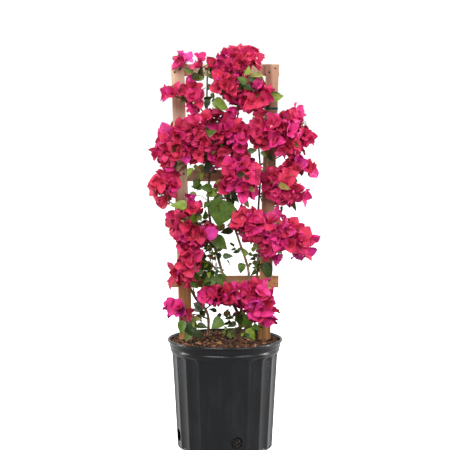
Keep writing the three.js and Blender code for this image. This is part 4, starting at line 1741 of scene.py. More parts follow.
@dataclass
class Crown:
    """Grows the masses: shoots by the seeded rule, and finer side twigs that fill the patches."""

    TIP: ClassVar[int] = 2
    FEELER_RINGS: ClassVar[tuple[Pair, ...]] = ((0.42, 0.4), (0.66, 0.66))

    trellis: Trellis
    wood: Wood
    front: FrontView = FrontView()
    rear_size: float = 0.86
    rear_share: float = 0.7
    rear_depth: float = 66.0
    rear_inwards: float = 0.94
    rear_drop: float = 4.0
    rear_leaves: int = 2
    seeds: tuple[Pair, ...] = ((101, 7), (503, 11))  # front and rear: the first, and the step
    large_reach: float = 46.0
    least_scale: float = 0.6
    beyond: float = 0.3
    sag: float = 6.0
    bract: float = 31.5
    bract_room: float = 0.5
    bloom_share: float = 5.4
    leaf_share: float = 2.2
    bare_leaf_share: float = 1.0
    depths: Pair = (1.1, 0.2)
    starts: Pair = (0.3, 0.95)
    sizes: Pair = (0.82, 1.1)
    fork: float = 0.82
    side_turns: Pair = (1.1, 1.9)
    side_lean: Pair = (0.7, 1.1)
    side_reach: Pair = (14.0, 24.0)
    side_sizes: Pair = (0.78, 1.02)
    spacing: float = 13.0
    edge: float = 1.16
    inside_share: float = 0.87
    least_follow: float = -0.2
    slat_gaps: Pair = (1.5, 1.2)
    limb_gap: float = 1.0
    tries: int = 150
    seed: int = 71
    shoots: list[Shoot] = field(default_factory=list)
    leaf_shoots: list[Shoot] = field(default_factory=list)
    sprigs: list[tuple[Rows, Rows, Rows]] = field(default_factory=list)
    hearts: Rows = field(default_factory=lambda: np.empty((0, 3)))
    masses: list[Mass] = field(default_factory=list)

    def all_masses(self) -> list[Mass]:
        """The masses with their seeds and scales, and a partner behind the trellis for some.

        Returns:
            The masses, each partner after its own.
        """
        every = []
        (first, step), (rear_first, rear_step) = self.seeds
        for row, front in enumerate(MASSES):
            front.scale = min(max(min(front.reach) / self.large_reach, self.least_scale), 1.0)
            front.seed = first + step * row
            every.append(front)
            if front.rear:
                right, _, up = front.middle
                middle = (self.rear_inwards * right, self.rear_depth, up - self.rear_drop)
                reach = tuple(self.rear_size * part for part in front.reach)
                blooms = round(self.rear_share * front.blooms)
                rear = Mass(f"rear_{front.name}", middle, reach, front.rear, blooms, self.rear_leaves)
                rear.palette, rear.scale = front.palette, front.scale
                rear.seed = rear_first + rear_step * row
                every.append(rear)
        return every

    def _stem_line(self, mass: Mass) -> SmoothLine:
        """The stem inside a mass, which goes on from its limb.

        Args:
            mass: the mass.

        Returns:
            Its line.
        """
        limb, share = self.wood.carrier(mass)
        root = limb.line.at(share)
        middle = np.array(mass.middle, float)
        far = middle + (root - middle) * -self.beyond
        elbow = root + (middle - root) * 0.5 - [0, 0, self.sag]
        return SmoothLine((root, elbow, middle, far))

    def _plans(self, mass: Mass) -> Iterator[Shoot]:
        """The shoots that a mass may grow.

        Args:
            mass: the mass.

        Yields:
            Shoots, outermost first.
        """
        numbers = SeededDraws(mass.seed)
        count = self.tries * (mass.blooms + mass.leaves)
        middle = np.array(mass.middle, float)
        room = np.array(mass.reach) - self.bract_room * self.bract * mass.scale
        forward = 0.4 * math.copysign(1, mass.middle[1])
        for shoot in range(count):
            turn, height, tilt, yaw, roll, on_axis, size = (numbers.draw() for _ in range(7))
            turn, rise = math.tau * turn, 2 * height - 1
            level = math.sqrt(1 - rise**2)
            heading = np.array([level * math.cos(turn), level * math.sin(turn), rise])
            depth = mix(*self.depths, shoot / count)
            start = mass.line.at(mix(*self.starts, on_axis))
            end = middle + heading * room * depth
            stalk = end - start
            stalk /= max(np.linalg.norm(stalk), 1e-6)
            facing = 0.8 * heading + [2 * (tilt - 0.5), forward, 2 * (yaw - 0.45)] + 0.4 * stalk
            facing /= np.linalg.norm(facing)
            if facing @ stalk < self.least_follow:
                continue
            size = mass.scale * mix(*self.sizes, size)
            yield Shoot(mass, start, end, facing, math.tau * roll, size, depth)

    def _side_shoots(self, parent: Shoot, draw: Draws) -> Iterator[Shoot]:
        """The two side twigs just below a shoot's end, each with a bloom turned away from it.

        Args:
            parent: the shoot.
            draw: the seeded numbers.

        Yields:
            The shoots of the side twigs.
        """
        fork = parent.start + (parent.end - parent.start) * self.fork
        for side in (-1, 1):
            spoke = parent.spokes(np.array([parent.roll + side * draw.uniform(*self.side_turns)]))[0]
            lean = draw.uniform(*self.side_lean)
            way = 0.55 * parent.facing + spoke * lean + draw.normal(0, 0.15, 3)
            way /= np.linalg.norm(way)
            end = fork + way * draw.uniform(*self.side_reach) * parent.size
            roll = draw.uniform(0, math.tau)
            size = parent.size * draw.uniform(*self.side_sizes)
            yield Shoot(parent.mass, fork, end, way, roll, size, parent.depth)

    def _in_trellis(self, places: Rows, margin: float) -> bool:
        """Says whether any place lies in a post or rail grown by a margin.

        Args:
            places: the places, as place, axis.
            margin: how much larger each slat is taken to be.

        Returns:
            True if one does.
        """
        frame = self.trellis
        right, back, up = places.T
        in_post = (np.abs(back) < frame.thickness / 2 + margin) & (up < frame.top + margin)
        aside = [np.abs(right - frame.post_middle(side, up)) for side in (-1, 1)]
        in_post &= np.minimum(*aside) < frame.slat / 2 + margin
        wide, thick, tall = (part / 2 + margin for part in frame.rail_size)
        above = np.min([np.abs(up - height) for height in frame.rails.values()], axis=0)
        in_rail = (np.abs(back - frame.rail_back) < thick) & (np.abs(right) < wide) & (above < tall)
        return bool(np.any(in_post | in_rail))

    def _feelers(self, shoot: Shoot) -> Rows:
        """Places on a bloom or leaf tuft that must be free.

        Args:
            shoot: the shoot that bears it.

        Returns:
            Three places along its axis, and two rings round it.
        """
        spokes = shoot.spokes(shoot.roll + np.arange(6) * math.pi / 3)
        rings = [spokes * out + shoot.facing * lift for out, lift in self.FEELER_RINGS]
        axis = shoot.facing * np.array([[0.0], [0.3], [0.85]])
        return shoot.end + self.bract * shoot.size * np.concatenate([axis, *rings])

    def _is_free(self, shoot: Shoot, limbs: tuple[Rows, Rows], blossom: bool) -> bool:
        """True if a shoot's end keeps inside its mass and the patches, and clear of all that stands.

        Args:
            shoot: the shoot.
            limbs: places along the limbs, and their radii.
            blossom: True if the end has to lie inside the patches of blossom.

        Returns:
            True if it may grow.
        """
        feelers = self._feelers(shoot)
        if np.any(shoot.mass.outward(feelers) > self.edge + 0.1):
            return False
        inside = self.front.inside(feelers)
        if blossom and (not inside[self.TIP] or np.mean(inside) < self.inside_share):
            return False
        stalk = shoot.start + (shoot.end - shoot.start) * np.linspace(0.05, 1, 12)[:, None]
        if any(map(self._in_trellis, (feelers, stalk), self.slat_gaps)):
            return False
        room = self.spacing * shoot.mass.scale
        if np.any(np.linalg.norm(self.hearts - shoot.heart(), axis=1) < room):
            return False
        places, radii = limbs
        gap = np.linalg.norm(feelers[:, None] - places[None], axis=2) - radii[None]
        return float(gap.min()) > self.limb_gap

    def _keep(self, shoot: Shoot, shoots: list[Shoot]) -> None:
        """Adds a shoot to a list, and its heart to those that others keep away from."""
        shoots.append(shoot)
        self.hearts = np.concatenate([self.hearts, shoot.heart()[None]])

    def plan(self, masses: Sequence[Mass]) -> None:
        """Chooses the shoots of every mass.

        Args:
            masses: the masses, in order.
        """
        limbs = self.wood.samples()
        draw = np.random.default_rng(self.seed)
        self.masses = list(masses)
        for mass in masses:
            mass.line = self._stem_line(mass)
        for bloom in LONE_BLOOMS:
            self._keep(bloom.shoot(masses, draw.uniform(0, math.tau)), self.shoots)
        for mass in masses:
            wanted = round(self.bloom_share * mass.blooms)
            wanted_leaves = round((self.leaf_share if mass.blooms else self.bare_leaf_share) * mass.leaves)
            blooms = leaves = 0
            for shoot in self._plans(mass):
                if blooms >= wanted and leaves >= wanted_leaves:
                    break
                bears = leaves >= wanted_leaves or (blooms + 1) * wanted_leaves <= (leaves + 1) * wanted
                if not self._is_free(shoot, limbs, bears or mass.blooms > 0):
                    continue
                if not bears:
                    self._keep(shoot, self.leaf_shoots)
                    leaves += 1
                    continue
                self._keep(shoot, self.shoots)
                blooms += 1
                for side in self._side_shoots(shoot, draw):
                    if self._is_free(side, limbs, True):
                        self._keep(side, self.shoots)
                        blooms += 1
            LOG.info("%s: %d of %d blooms, %d leaf shoots", mass.name, blooms, wanted, leaves)


@dataclass
class Blossom:
    """Dresses the shoots: three bracts and now and then a white star on each, in the mass's tones."""

    # painted light: the brighter tone that each tone turns to on the lit tips of the bracts
    LIT_TIPS: ClassVar[tuple[Tone, ...]] = (
        Tone.PURPLE, Tone.MAGENTA, Tone.CERISE, Tone.CERISE, Tone.PINK, Tone.PINK, Tone.CRIMSON,
    )
    # painted shade and light: tones lean redder in blooms deep in a mass and brighter further out
    DEEP: ClassVar[tuple[float, ...]] = (0.6, 1, 1, 2, 0.5, 0.3, 0)
    OUTER: ClassVar[tuple[float, ...]] = (1.2, 1, 1, 0.7, 1.2, 1.5, 0)
    DEEP_FROM: ClassVar[float] = 0.75

    crown: Crown
    seed: int = 23
    star_share: float = 0.055
    side_star_share: float = 0.015
    bud_share: float = 0.3
    stray_share: float = 0.2
    # the share of bracts whose tips get painted light
    lit_tip_share: float = 0.6
    opening: Pair = (24.0, 50.0)
    half_width: float = 0.41
    crumple: float = 0.95
    tube_length: Pair = (11.0, 15.0)
    tube_radii: Triple = (0.9, 0.8, 0.9)
    open_radius: float = 1.1
    star_points: tuple[Pair, ...] = ((3.5, 0.8), (1.9, 0.3))
    bud: tuple[Pair, ...] = (
        (0.0, 0.6), (9.0, 0.5), (15.0, 0.5), (16.5, 1.3), (18.5, 1.9), (20.5, 1.4), (22.0, 0.4),
    )

    def __post_init__(self) -> None:
        """Starts the seeded numbers."""
        self.draw = np.random.default_rng(self.seed)

    def _tones(self) -> Rows:
        """Deals the blooms' tones: redder deep inside, as painted shade, and brighter outside, as painted
        light.

        Returns:
            The tone of each shoot's bloom, by number.
        """
        tones = []
        order = list(Tone)
        for shoot in self.crown.shoots:
            shade_leaning = self.DEEP if shoot.depth < self.DEEP_FROM else self.OUTER
            shares = np.array(shoot.mass.palette.value) * shade_leaning
            dealt = self.draw.choice(len(order), p=shares / shares.sum())
            tones.append(order.index(shoot.tone) if shoot.tone else dealt)
        return np.array(tones)

    def _bracts(self, sheaf: Sheaf, tones: Rows) -> Gathering:
        """The three bracts of every bloom.

        Args:
            sheaf: the shoots that bear them.
            tones: the tone of each, by number.

        Returns:
            The bracts, gathered.
        """
        draw, number = self.draw, len(sheaf)
        petals = Gathering()
        faces = BRACT.faces()
        brighter = np.array([list(Tone).index(tone) for tone in self.LIT_TIPS])
        opening = np.radians(draw.uniform(*self.opening, number))
        for bract in range(3):
            spoke = sheaf.spoke(sheaf.roll + bract * math.tau / 3 + draw.normal(0, 0.14, number))
            lean = (opening + draw.normal(0, 0.16, number))[:, None]
            length = self.crown.bract * sheaf.size * draw.uniform(0.85, 1.12, number)
            lay = Lay(
                foot=sheaf.end + spoke * 0.8,
                along=sheaf.facing * np.cos(lean) + spoke * np.sin(lean),
                above=sheaf.facing * np.sin(lean) - spoke * np.cos(lean),
                length=length,
                half_width=self.half_width * length * draw.uniform(0.85, 1.15, number),
                curl=draw.normal(-0.35, 0.5, number),
                cup=draw.uniform(-0.2, 0.7, number),
                wave=draw.uniform(1.0, 4.4, number),
                crumple=self.crumple,
            )
            corners = BRACT.corners(lay, draw)
            dealt = np.where(draw.random(number) < self.stray_share, draw.integers(0, 4, number), tones)
            slots = np.repeat(dealt[:, None], len(faces), axis=1)
            # painted shade: the four faces at each bract's foot, deep in the bloom, take the darkest tone
            slots[:, :4] = len(Tone) - 1
            # painted light: on that share of bracts the last eight faces, at the tip, take a brighter tone
            bright = draw.random(number) < self.lit_tip_share
            slots[:, -8:] = np.where(bright, brighter[dealt], dealt)[:, None]
            petals.add(corners, faces, slots)
        return petals

    def _star(self, middle: Rows, way: Rows, size: Rows) -> Rows:
        """The corners of open stars: a heart, and long and short points in turn round it.

        Args:
            middle: where each star is.
            way: the way that it looks.
            size: how large it is, as a column.

        Returns:
            The corners, as star, corner, axis.
        """
        right = across_of(way)
        up = np.cross(way, right)
        corners = [middle - way * 0.4]
        for point in range(10):
            out, lift = self.star_points[point % 2]
            ray = right * math.cos(math.pi * point / 5) + up * math.sin(math.pi * point / 5)
            corners.append(middle + (ray * out + way * lift) * size)
        return np.stack(corners, axis=1)

    def _flowers(self, sheaf: Sheaf) -> Gathering:
        """The slim flower tubes in the blooms, some open in a small white star, and the buds.

        Args:
            sheaf: the shoots that bear them.

        Returns:
            The flowers, gathered.
        """
        draw, number = self.draw, len(sheaf)
        stars = Gathering()
        for flower in range(3):
            spoke = sheaf.spoke(draw.uniform(0, math.tau, number) if flower else np.zeros(number))
            along = unit(sheaf.facing + spoke * draw.uniform(0.1, 0.35, number)[:, None])
            length = (draw.uniform(*self.tube_length, number) * sheaf.size)[:, None]
            opened = draw.random(number) < (self.side_star_share if flower else self.star_share)
            points = np.stack([sheaf.end + along * length * share for share in (0, 0.55, 1)], axis=1)
            girth = np.tile(self.tube_radii, (number, 1))
            girth[opened, -1] = self.open_radius
            stars.add(*tubes(points, girth * sheaf.size[:, None], 5), 1)
            corners = self._star(points[opened, -1], along[opened], sheaf.size[opened, None])
            stars.add(corners, [(0, 1 + a, 1 + b) for a, b in ring_pairs(10)], 0)
        budding = draw.random(number) < self.bud_share
        aside = [square * draw.normal(0, 0.9, number)[:, None] for square in (sheaf.first, sheaf.second)]
        way = unit(sheaf.facing + aside[0] + aside[1])[budding]
        size = sheaf.size[budding][:, None]
        foot = sheaf.end[budding] - sheaf.facing[budding] * 4
        points = np.stack([foot + way * size * step for step, _ in self.bud], axis=1)
        stars.add(*tubes(points, np.array([[girth for _, girth in self.bud]]) * size, 6), 2)
        return stars

    def build(self) -> None:
        """Makes all the bracts, and the flowers in them."""
        sheaf = Sheaf(self.crown.shoots)
        petals = self._bracts(sheaf, self._tones())
        nodes = [mass.name for mass in self.crown.masses if mass.blooms]
        finish_piece(petals.join(), "bracts", [tone.value for tone in Tone], nodes)
        flowers = self._flowers(sheaf)
        finish_piece(flowers.join(), "star_flowers", [STAR_CREAM, TUBE_PINK, BUD_DARK])


@dataclass(frozen=True)
class SingleLeaf:
    """A leaf that shows by itself: foot as right, back, up; tip as right, up; width, tone, roll."""

    right: float
    back: float
    up: float
    tip_right: float
    tip_up: float
    half_width: float
    tone: Green
    roll: float


SINGLE_LEAVES = tuple(
    SingleLeaf(*row)
    for row in (
        (-1, -58, 552, -16, 497, 0.5, Green.MID, 0.0), (96, -20, 770, 127, 775, 0.3, Green.FRESH, 0.2),
        (93, -14, 777, 119, 784, 0.28, Green.DEEP, -0.3), (95, -16, 757, 90, 742, 0.3, Green.DEEP, 0.3),
        (53, -90, 819, 83, 823, 0.26, Green.OLIVE, -0.2), (47, -94, 821, 51, 840, 0.26, Green.FRESH, 0.1),
        (66, -86, 825, 81, 812, 0.26, Green.OLIVE, 0.3), (-84, -30, 776, -96, 760, 0.34, Green.MID, 0.2),
        (-24, -64, 768, 7, 745, 0.3, Green.FRESH, 0.2), (-41, -98, 696, -18, 703, 0.3, Green.MID, 0.3),
        (-36, -98, 703, -42, 713, 0.3, Green.DEEP, -0.2), (49, -98, 660, 67, 662, 0.34, Green.DEEP, 0.2),
        (93, -30, 650, 103, 634, 0.3, Green.DEEP, 0.3), (143, -70, 678, 157, 669, 0.32, Green.MID, 0.2),
        (79, -60, 658, 88, 645, 0.3, Green.MID, 0.2), (-56, -26, 595, -68, 574, 0.36, Green.MID, 0.2),
        (-45, -40, 626, -19, 609, 0.34, Green.DEEP, 0.3), (30, -96, 615, 47, 598, 0.34, Green.DEEP, 0.4),
        (41, -50, 554, 51, 535, 0.28, Green.OLIVE, 0.2), (147, -20, 549, 152, 524, 0.22, Green.MID, 0.3),
        (123, -40, 537, 122, 524, 0.24, Green.DEEP, 0.3),
        (115, -86, 589, 139, 576, 0.24, Green.OLIVE, 0.3),
        (139, -50, 602, 156, 591, 0.36, Green.MID, 0.2),
        (-82, -62, 540, -117, 545, 0.3, Green.FRESH, 0.1),
        (-84, -60, 535, -101, 531, 0.3, Green.OLIVE, 0.3),
        (-94, -80, 511, -87, 492, 0.28, Green.OLIVE, 0.3),
        (-79, -60, 636, -105, 630, 0.22, Green.OLIVE, 0.3),
        (-82, -60, 626, -101, 615, 0.22, Green.BRONZE, 0.2),
        (-23, -40, 471, 3, 443, 0.36, Green.MID, 0.2), (-72, -50, 375, -60, 358, 0.34, Green.MID, 0.2),
        (40, -20, 410, 32, 389, 0.42, Green.MID, 0.2), (92, -30, 413, 95, 373, 0.3, Green.DEEP, 0.2),
        (81, -24, 411, 90, 380, 0.24, Green.DEEP, 0.4), (63, -50, 458, 76, 444, 0.34, Green.OLIVE, 0.2),
        (110, -60, 450, 123, 436, 0.34, Green.OLIVE, 0.2), (-5, -56, 291, -30, 273, 0.44, Green.MID, 0.1),
        (50, -62, 273, 63, 247, 0.34, Green.FRESH, 0.2), (-90, -66, 291, -98, 260, 0.32, Green.MID, 0.2),
        (-85, -56, 284, -76, 255, 0.34, Green.DEEP, 0.3),
    )
)


@dataclass(frozen=True)
class LeafyTwig:
    """A twig that shows: a place that it passes and its tip, how many leaves it has, and their length."""

    way: Triple
    tip: Triple
    leaves: int
    length: float


LEAFY_TWIGS = tuple(
    LeafyTwig(*row)
    for row in (
        ((-38, -56, 812), (-28, -58, 782), 4, 12), ((-42, -40, 812), (-68, -50, 826), 4, 20),
        ((-36, -52, 806), (-20, -60, 840), 6, 20), ((-40, -56, 778), (-20, -62, 758), 4, 19),
        ((26, -86, 786), (50, -94, 808), 6, 19), ((-36, -20, 588), (-64, -28, 566), 3, 20),
        ((-42, -40, 634), (-50, -46, 612), 3, 19), ((0, -40, 564), (-28, -46, 577), 4, 22),
        ((8, -46, 556), (26, -52, 568), 4, 22), ((-38, -34, 500), (-56, -44, 520), 4, 20),
        ((-58, -70, 500), (-76, -78, 510), 3, 18), ((-16, -34, 440), (2, -38, 420), 4, 20),
        ((-24, -30, 436), (-42, -40, 466), 4, 20), ((-22, -28, 410), (-56, -44, 426), 5, 26),
        ((-20, -30, 398), (-58, -40, 390), 5, 26), ((-16, -32, 392), (-32, -42, 358), 5, 26),
        ((30, -20, 430), (20, -26, 448), 4, 13), ((44, -20, 424), (58, -24, 438), 3, 14),
        ((76, 10, 424), (60, 4, 408), 5, 15), ((78, 8, 400), (68, 2, 392), 4, 14),
        ((36, -30, 284), (54, -50, 304), 5, 20), ((26, -30, 284), (12, -50, 302), 5, 20),
        ((40, -36, 272), (60, -60, 278), 5, 22), ((10, -34, 292), (-18, -50, 308), 4, 19),
        ((-66, -30, 290), (-58, -44, 268), 4, 19), ((-66, -36, 284), (-76, -50, 262), 4, 22),
        ((-54, -60, 640), (-70, -66, 622), 4, 19), ((-84, -64, 640), (-98, -76, 656), 4, 18),
        ((70, 60, 300), (96, 78, 276), 5, 24), ((-46, 60, 300), (-66, 76, 276), 5, 24),
        ((10, 62, 470), (-14, 74, 496), 6, 24), ((-50, 60, 620), (-34, 76, 650), 6, 24),
        ((60, 62, 800), (82, 76, 822), 5, 22),
    )
)


def bowed(start: Rows, bend: Rows, end: Rows, share: float | Rows) -> Rows:
    """A place on the bow from a start, towards a bend, to an end."""
    return start * (1 - share) ** 2 + bend * 2 * share * (1 - share) + end * share**2


@dataclass
class Foliage:
    """The leaves along the shoots, the leafy shoots, and the large leaves that show by themselves."""

    crown: Crown
    seed: int = 41
    leafy_turns: int = 4
    golden: float = 2.4
    leaf_share: float = 0.5
    blooming_lengths: Pair = (17.0, 29.0)
    leafy_lengths: Pair = (20.0, 31.0)
    twig_lengths: Pair = (0.9, 1.4)
    widths: Pair = (0.28, 0.36)
    stalk: float = 26.0
    blooming_tones: tuple[float, ...] = (0.4, 0.3, 0.14, 0.1, 0.06)
    leafy_tones: tuple[float, ...] = (0.34, 0.36, 0.18, 0.08, 0.04)
    twig_tones: tuple[float, ...] = (0.5, 0.3, 0.1, 0.06, 0.04)
    heap: Gathering = field(default_factory=Gathering)

    def __post_init__(self) -> None:
        """Starts the seeded numbers."""
        self.draw = np.random.default_rng(self.seed)

    def _nearest_wood(self, place: Rows) -> Rows:
        """The nearest place on a limb, or on the stem of a mass.

        Args:
            place: the place that it is nearest to.

        Returns:
            That place on the wood.
        """
        wood, _ = self.crown.wood.samples()
        stems = np.concatenate([wood, *(mass.line.spaced(AXIS_STEP) for mass in self.crown.masses)])
        return stems[np.argmin(np.linalg.norm(stems - place, axis=1))]

    def _hang(self, foot: Rows, along: Rows, length: Rows, shares: Sequence[float]) -> None:
        """Adds leaves that hang from places.

        Args:
            foot: where each blade starts.
            along: the way that it sets out.
            length: its length.
            shares: how often each tone comes.
        """
        draw, number = self.draw, len(foot)
        level = unit(draw.normal(0, 0.35, (number, 3)) + [0, -0.25, 1.0])
        lay = Lay(
            foot, along, square_to(along, level), length,
            half_width=length * draw.uniform(*self.widths, number),
            curl=-draw.uniform(0.1, 0.9, number),
            cup=draw.uniform(0.0, 0.2, number),
            wave=draw.uniform(0.0, 0.9, number),
        )
        self.heap.add(LEAF.corners(lay, draw), LEAF.faces(), draw.choice(len(Green), number, p=shares))

    def _face_front(self, stalks: tuple[Rows, Rows, Rows], width: Rows, roll: Rows, tones: Rows) -> None:
        """Adds broad leaves that turn their upper side to the front.

        Args:
            stalks: where each blade starts, the way that it sets out, and its length.
            width: its half width, as a share of the length.
            roll: how far it is turned about its rib, in radians.
            tones: its tone, by number.
        """
        draw, number = self.draw, len(tones)
        foot, along, length = stalks
        above = square_to(along, np.array([[0.0, -1.0, 0.45]]))
        lay = Lay(
            foot, along, turned_about(above, along, roll), length,
            half_width=length * width,
            curl=-draw.uniform(0.2, 0.6, number),
            cup=draw.uniform(0.05, 0.3, number),
            wave=draw.uniform(0.3, 1.4, number),
            crumple=0.2,
        )
        self.heap.add(BROAD_LEAF.corners(lay, draw), BROAD_LEAF.faces(), tones)

    def _on_blooming_shoots(self) -> None:
        """Adds a leaf on about half of the shoots that bloom, where it shows no sky away."""
        draw, sheaf = self.draw, Sheaf(self.crown.shoots)
        number = len(sheaf)
        share = draw.uniform(0.35, 0.85, number)
        keep = draw.random(number) < self.leaf_share
        foot = sheaf.on_stalk(share)
        sideways = unit(np.cross(sheaf.stalk, unit(draw.normal(0, 1, foot.shape))))
        along = unit(sheaf.stalk * 0.5 + sideways + [0, 0, -0.1])
        length = sheaf.size * draw.uniform(*self.blooming_lengths, number)
        keep &= self.crown.front.inside(foot + along * length[:, None])
        self._hang(foot[keep], along[keep], length[keep], self.blooming_tones)

    def _on_leafy_shoots(self) -> None:
        """Adds the tuft of leaves on each leafy shoot: one at the end and the others round the stalk."""
        sheaf = Sheaf(self.crown.leaf_shoots)
        for turn in range(self.leafy_turns):
            spoke = turned_about(across_of(sheaf.stalk), sheaf.stalk, sheaf.roll + turn * self.golden)
            outwards = 0.9 if turn else 0.1
            along = unit(sheaf.facing * (0.35 if turn else 0.9) + spoke * outwards + [0, 0, -0.15])
            length = sheaf.size * self.draw.uniform(*self.leafy_lengths, len(sheaf)) * (1 - 0.08 * turn)
            self._hang(sheaf.on_stalk(1 - 0.2 * turn), along, length, self.leafy_tones)

    def _single_leaves(self) -> None:
        """Adds the leaves that show by themselves, and their stalks from the nearest wood."""
        rows = SINGLE_LEAVES
        foot = np.array([[leaf.right, leaf.back, leaf.up] for leaf in rows], float)
        tip = np.array([[leaf.tip_right, leaf.back - 5, leaf.tip_up] for leaf in rows], float)
        along = unit(tip - foot)
        length = 1.05 * np.linalg.norm(tip - foot, axis=1)
        width = np.array([leaf.half_width for leaf in rows])
        roll = 2 * np.array([leaf.roll for leaf in rows])
        tones = np.array([list(Green).index(leaf.tone) for leaf in rows])
        self._face_front((foot, along, length), width, roll, tones)
        for place, way in zip(foot, along):
            near = self._nearest_wood(place)
            bend = place - way * min(float(np.linalg.norm(place - near)), self.stalk) * 0.5
            self.crown.sprigs.append((near, bend, place + way))

    def _leafy_twigs(self) -> None:
        """Adds the leafy twigs: leaves to either side in turn, and one at the tip."""
        draw = self.draw
        feet, ways, lengths = [], [], []
        for twig in LEAFY_TWIGS:
            way, tip = np.array(twig.way, float), np.array(twig.tip, float)
            start = self._nearest_wood(way)
            self.crown.sprigs.append((start, way, tip))
            stalk = (tip - way) / np.linalg.norm(tip - way)
            side = unit(np.cross([[0.0, math.copysign(1, -tip[1]), 0.3]], stalk[None]))[0]
            for leaf in range(twig.leaves):
                aside = 0.0 if leaf == twig.leaves - 1 else 1.0
                feet.append(bowed(start, way, tip, mix(0.42, 1.0, leaf / (twig.leaves - 1))))
                spread = side * aside * (1 if leaf % 2 else -1)
                ways.append(stalk * (1 - 0.45 * aside) + spread + draw.normal(0, 0.16, 3) - [0, 0, 0.15])
                lengths.append(twig.length * draw.uniform(*self.twig_lengths))
        number = len(feet)
        tones = draw.choice(len(Green), number, p=self.twig_tones)
        width = draw.uniform(*self.widths, number)
        stalks = (np.array(feet), unit(np.array(ways)), np.array(lengths))
        self._face_front(stalks, width, draw.normal(0, 0.5, number), tones)

    def build(self) -> None:
        """Makes the leaves."""
        self._on_blooming_shoots()
        self._on_leafy_shoots()
        self._single_leaves()
        self._leafy_twigs()
        nodes = [mass.name for mass in self.crown.masses if not mass.blooms]
        finish_piece(self.heap.join(), "leaves", [tone.value for tone in Green], nodes)


@dataclass
class Twigs:
    """The stem inside each mass, and the twigs to its blooms, leaf shoots and single leaves."""

    crown: Crown
    axis_radii: Pair = (1.9, 1.2)
    shoot_radii: Pair = (1.0, 0.65)
    sprig_radii: Pair = (0.85, 0.5)
    heap: Gathering = field(default_factory=Gathering)

    def _add(self, points: Rows, radii: Pair, sides: int) -> None:
        """Adds tubes through points (tube, point, axis), with radii at their starts and ends."""
        girths = np.linspace(*radii, points.shape[1])[None].repeat(len(points), axis=0)
        self.heap.add(*tubes(points, girths, sides))

    def _add_bows(self, start: Rows, bend: Rows, end: Rows, radii: Pair) -> None:
        """Adds twigs that bow from their starts, towards their bends, to their ends."""
        points = [bowed(start, bend, end, share) for share in np.linspace(0, 1, 6)]
        self._add(np.stack(points, axis=1), radii, 5)

    def build(self, masses: Sequence[Mass]) -> None:
        """Makes the stems and the twigs.

        Args:
            masses: the masses, with their lines worked out.
        """
        axes = np.stack([mass.line.at(np.linspace(0, 1, 14)) for mass in masses])
        self._add(axes, self.axis_radii, 7)
        sheaf = Sheaf(self.crown.shoots + self.crown.leaf_shoots)
        reach = np.linalg.norm(sheaf.end - sheaf.start, axis=1, keepdims=True)
        self._add_bows(sheaf.start, sheaf.end - sheaf.facing * reach * 0.4, sheaf.end, self.shoot_radii)
        self._add_bows(*(np.array(part) for part in zip(*self.crown.sprigs)), self.sprig_radii)
        finish_piece(self.heap.join(), "twigs", [TWIG_BARK])


# The stage


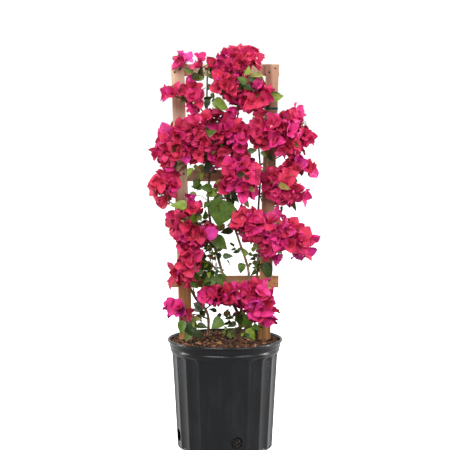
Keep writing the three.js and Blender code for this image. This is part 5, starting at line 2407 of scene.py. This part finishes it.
@dataclass
class Studio:
    """The camera, the pale floor, the white room light and five soft lamps."""

    camera_place: Triple = (0.0, -3.5, 0.864)
    camera_pitch: float = math.radians(6.07)
    lens: float = 128.3
    sensor: float = 36.0
    front_light: float = 0.46
    back_light: float = 0.95
    room_edges: Pair = (-0.1, 0.6)
    backdrop: float = 1.05
    floor_size: float = 30.0
    floor_drop: float = 0.0005
    floor_glow: float = 0.72
    aim: float = 0.5
    lamps: tuple[tuple[str, Triple, Pair, float], ...] = (
        ("key", (-1.1, -2.5, 2.5), (2.0, 2.0), 88),
        ("fill", (1.9, -2.2, 1.3), (1.6, 1.6), 42),
        ("top", (0.2, 0.9, 2.6), (1.2, 1.2), 34),
        ("strip_right", (1.5, 0.1, 0.8), (0.16, 1.7), 24),
        ("strip_left", (-1.7, 0.2, 0.8), (0.16, 1.7), 20),
    )

    def _lamp(self, name: str, place: Triple, size: Pair, watts: float) -> None:
        """A soft box that looks at the middle of the plant.

        Args:
            name: its name.
            place: where it stands, in metres.
            size: its width and height.
            watts: its power.
        """
        data = bpy.data.lights.new(name, "AREA")
        data.shape = "RECTANGLE"
        data.size, data.size_y = size
        data.energy = watts
        lamp = bpy.data.objects.new(name, data)
        lamp.location = place
        right, back, up = place
        flat = math.hypot(right, back)
        pitch = math.atan2(up - self.aim, flat)
        lamp.rotation_euler = (math.pi / 2 - pitch, 0, math.atan2(right, -back))
        bpy.context.scene.collection.objects.link(lamp)

    def _room(self) -> bpy.types.World:
        """A white room: bright behind the plant, dim on the viewer's side, white where it is seen.

        Returns:
            The world.
        """
        world = bpy.data.worlds.new("white_room")
        world.use_nodes = True
        graph = Graph(world.node_tree)
        way = graph.node("ShaderNodeTexCoord", output="Generated")
        back = graph.node("ShaderNodeSeparateXYZ", values={0: way}, output=1)
        behind = graph.step(back, *self.room_edges)
        light = self.front_light + behind * (self.back_light - self.front_light)
        seen = graph.node("ShaderNodeLightPath", output="Is Camera Ray")
        shader = world.node_tree.nodes["Background"]
        shader.inputs["Color"].default_value = (1, 1, 1, 1)
        strength = light * (1 - seen) + seen * self.backdrop
        world.node_tree.links.new(strength.socket, shader.inputs["Strength"])
        return world

    def build(self) -> None:
        """Sets the stage."""
        scene = bpy.context.scene
        data = bpy.data.cameras.new("camera")
        data.lens = self.lens
        data.sensor_width = self.sensor
        camera = bpy.data.objects.new("camera", data)
        camera.location = self.camera_place
        camera.rotation_euler = (math.pi / 2 - self.camera_pitch, 0, 0)
        scene.collection.objects.link(camera)
        scene.camera = camera
        scene.view_settings.view_transform = "Standard"
        bpy.ops.mesh.primitive_plane_add(size=self.floor_size, location=(0, 0, -self.floor_drop))
        floor = bpy.context.object
        floor.name = "floor"
        graph = Skin("pale_floor")
        looks: Looks = {
            "Base Color": graph.blend(graph.noise(3, 2), tint(246, 246, 246), tint(250, 250, 250)),
            "Roughness": 0.9,
            "Emission Color": (1, 1, 1, 1),
            "Emission Strength": self.floor_glow,
        }
        floor.data.materials.append(graph.surface(looks))
        floor.visible_diffuse = False
        floor.visible_glossy = False
        scene.world = self._room()
        for lamp in self.lamps:
            self._lamp(*lamp)


def main() -> None:
    """Builds the plant from the pot up."""
    logging.basicConfig(level=logging.INFO, format="%(message)s", stream=sys.stdout)
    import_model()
    Studio().build()
    NurseryPot().build()
    MulchBed().build()
    trellis = Trellis()
    trellis.build()
    wood = Wood()
    crown = Crown(trellis, wood)
    masses = crown.all_masses()
    wood.build(masses)
    crown.plan(masses)
    Blossom(crown).build()
    Foliage(crown).build()
    Twigs(crown).build(masses)
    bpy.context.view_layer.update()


if __name__ == "__main__":
    main()
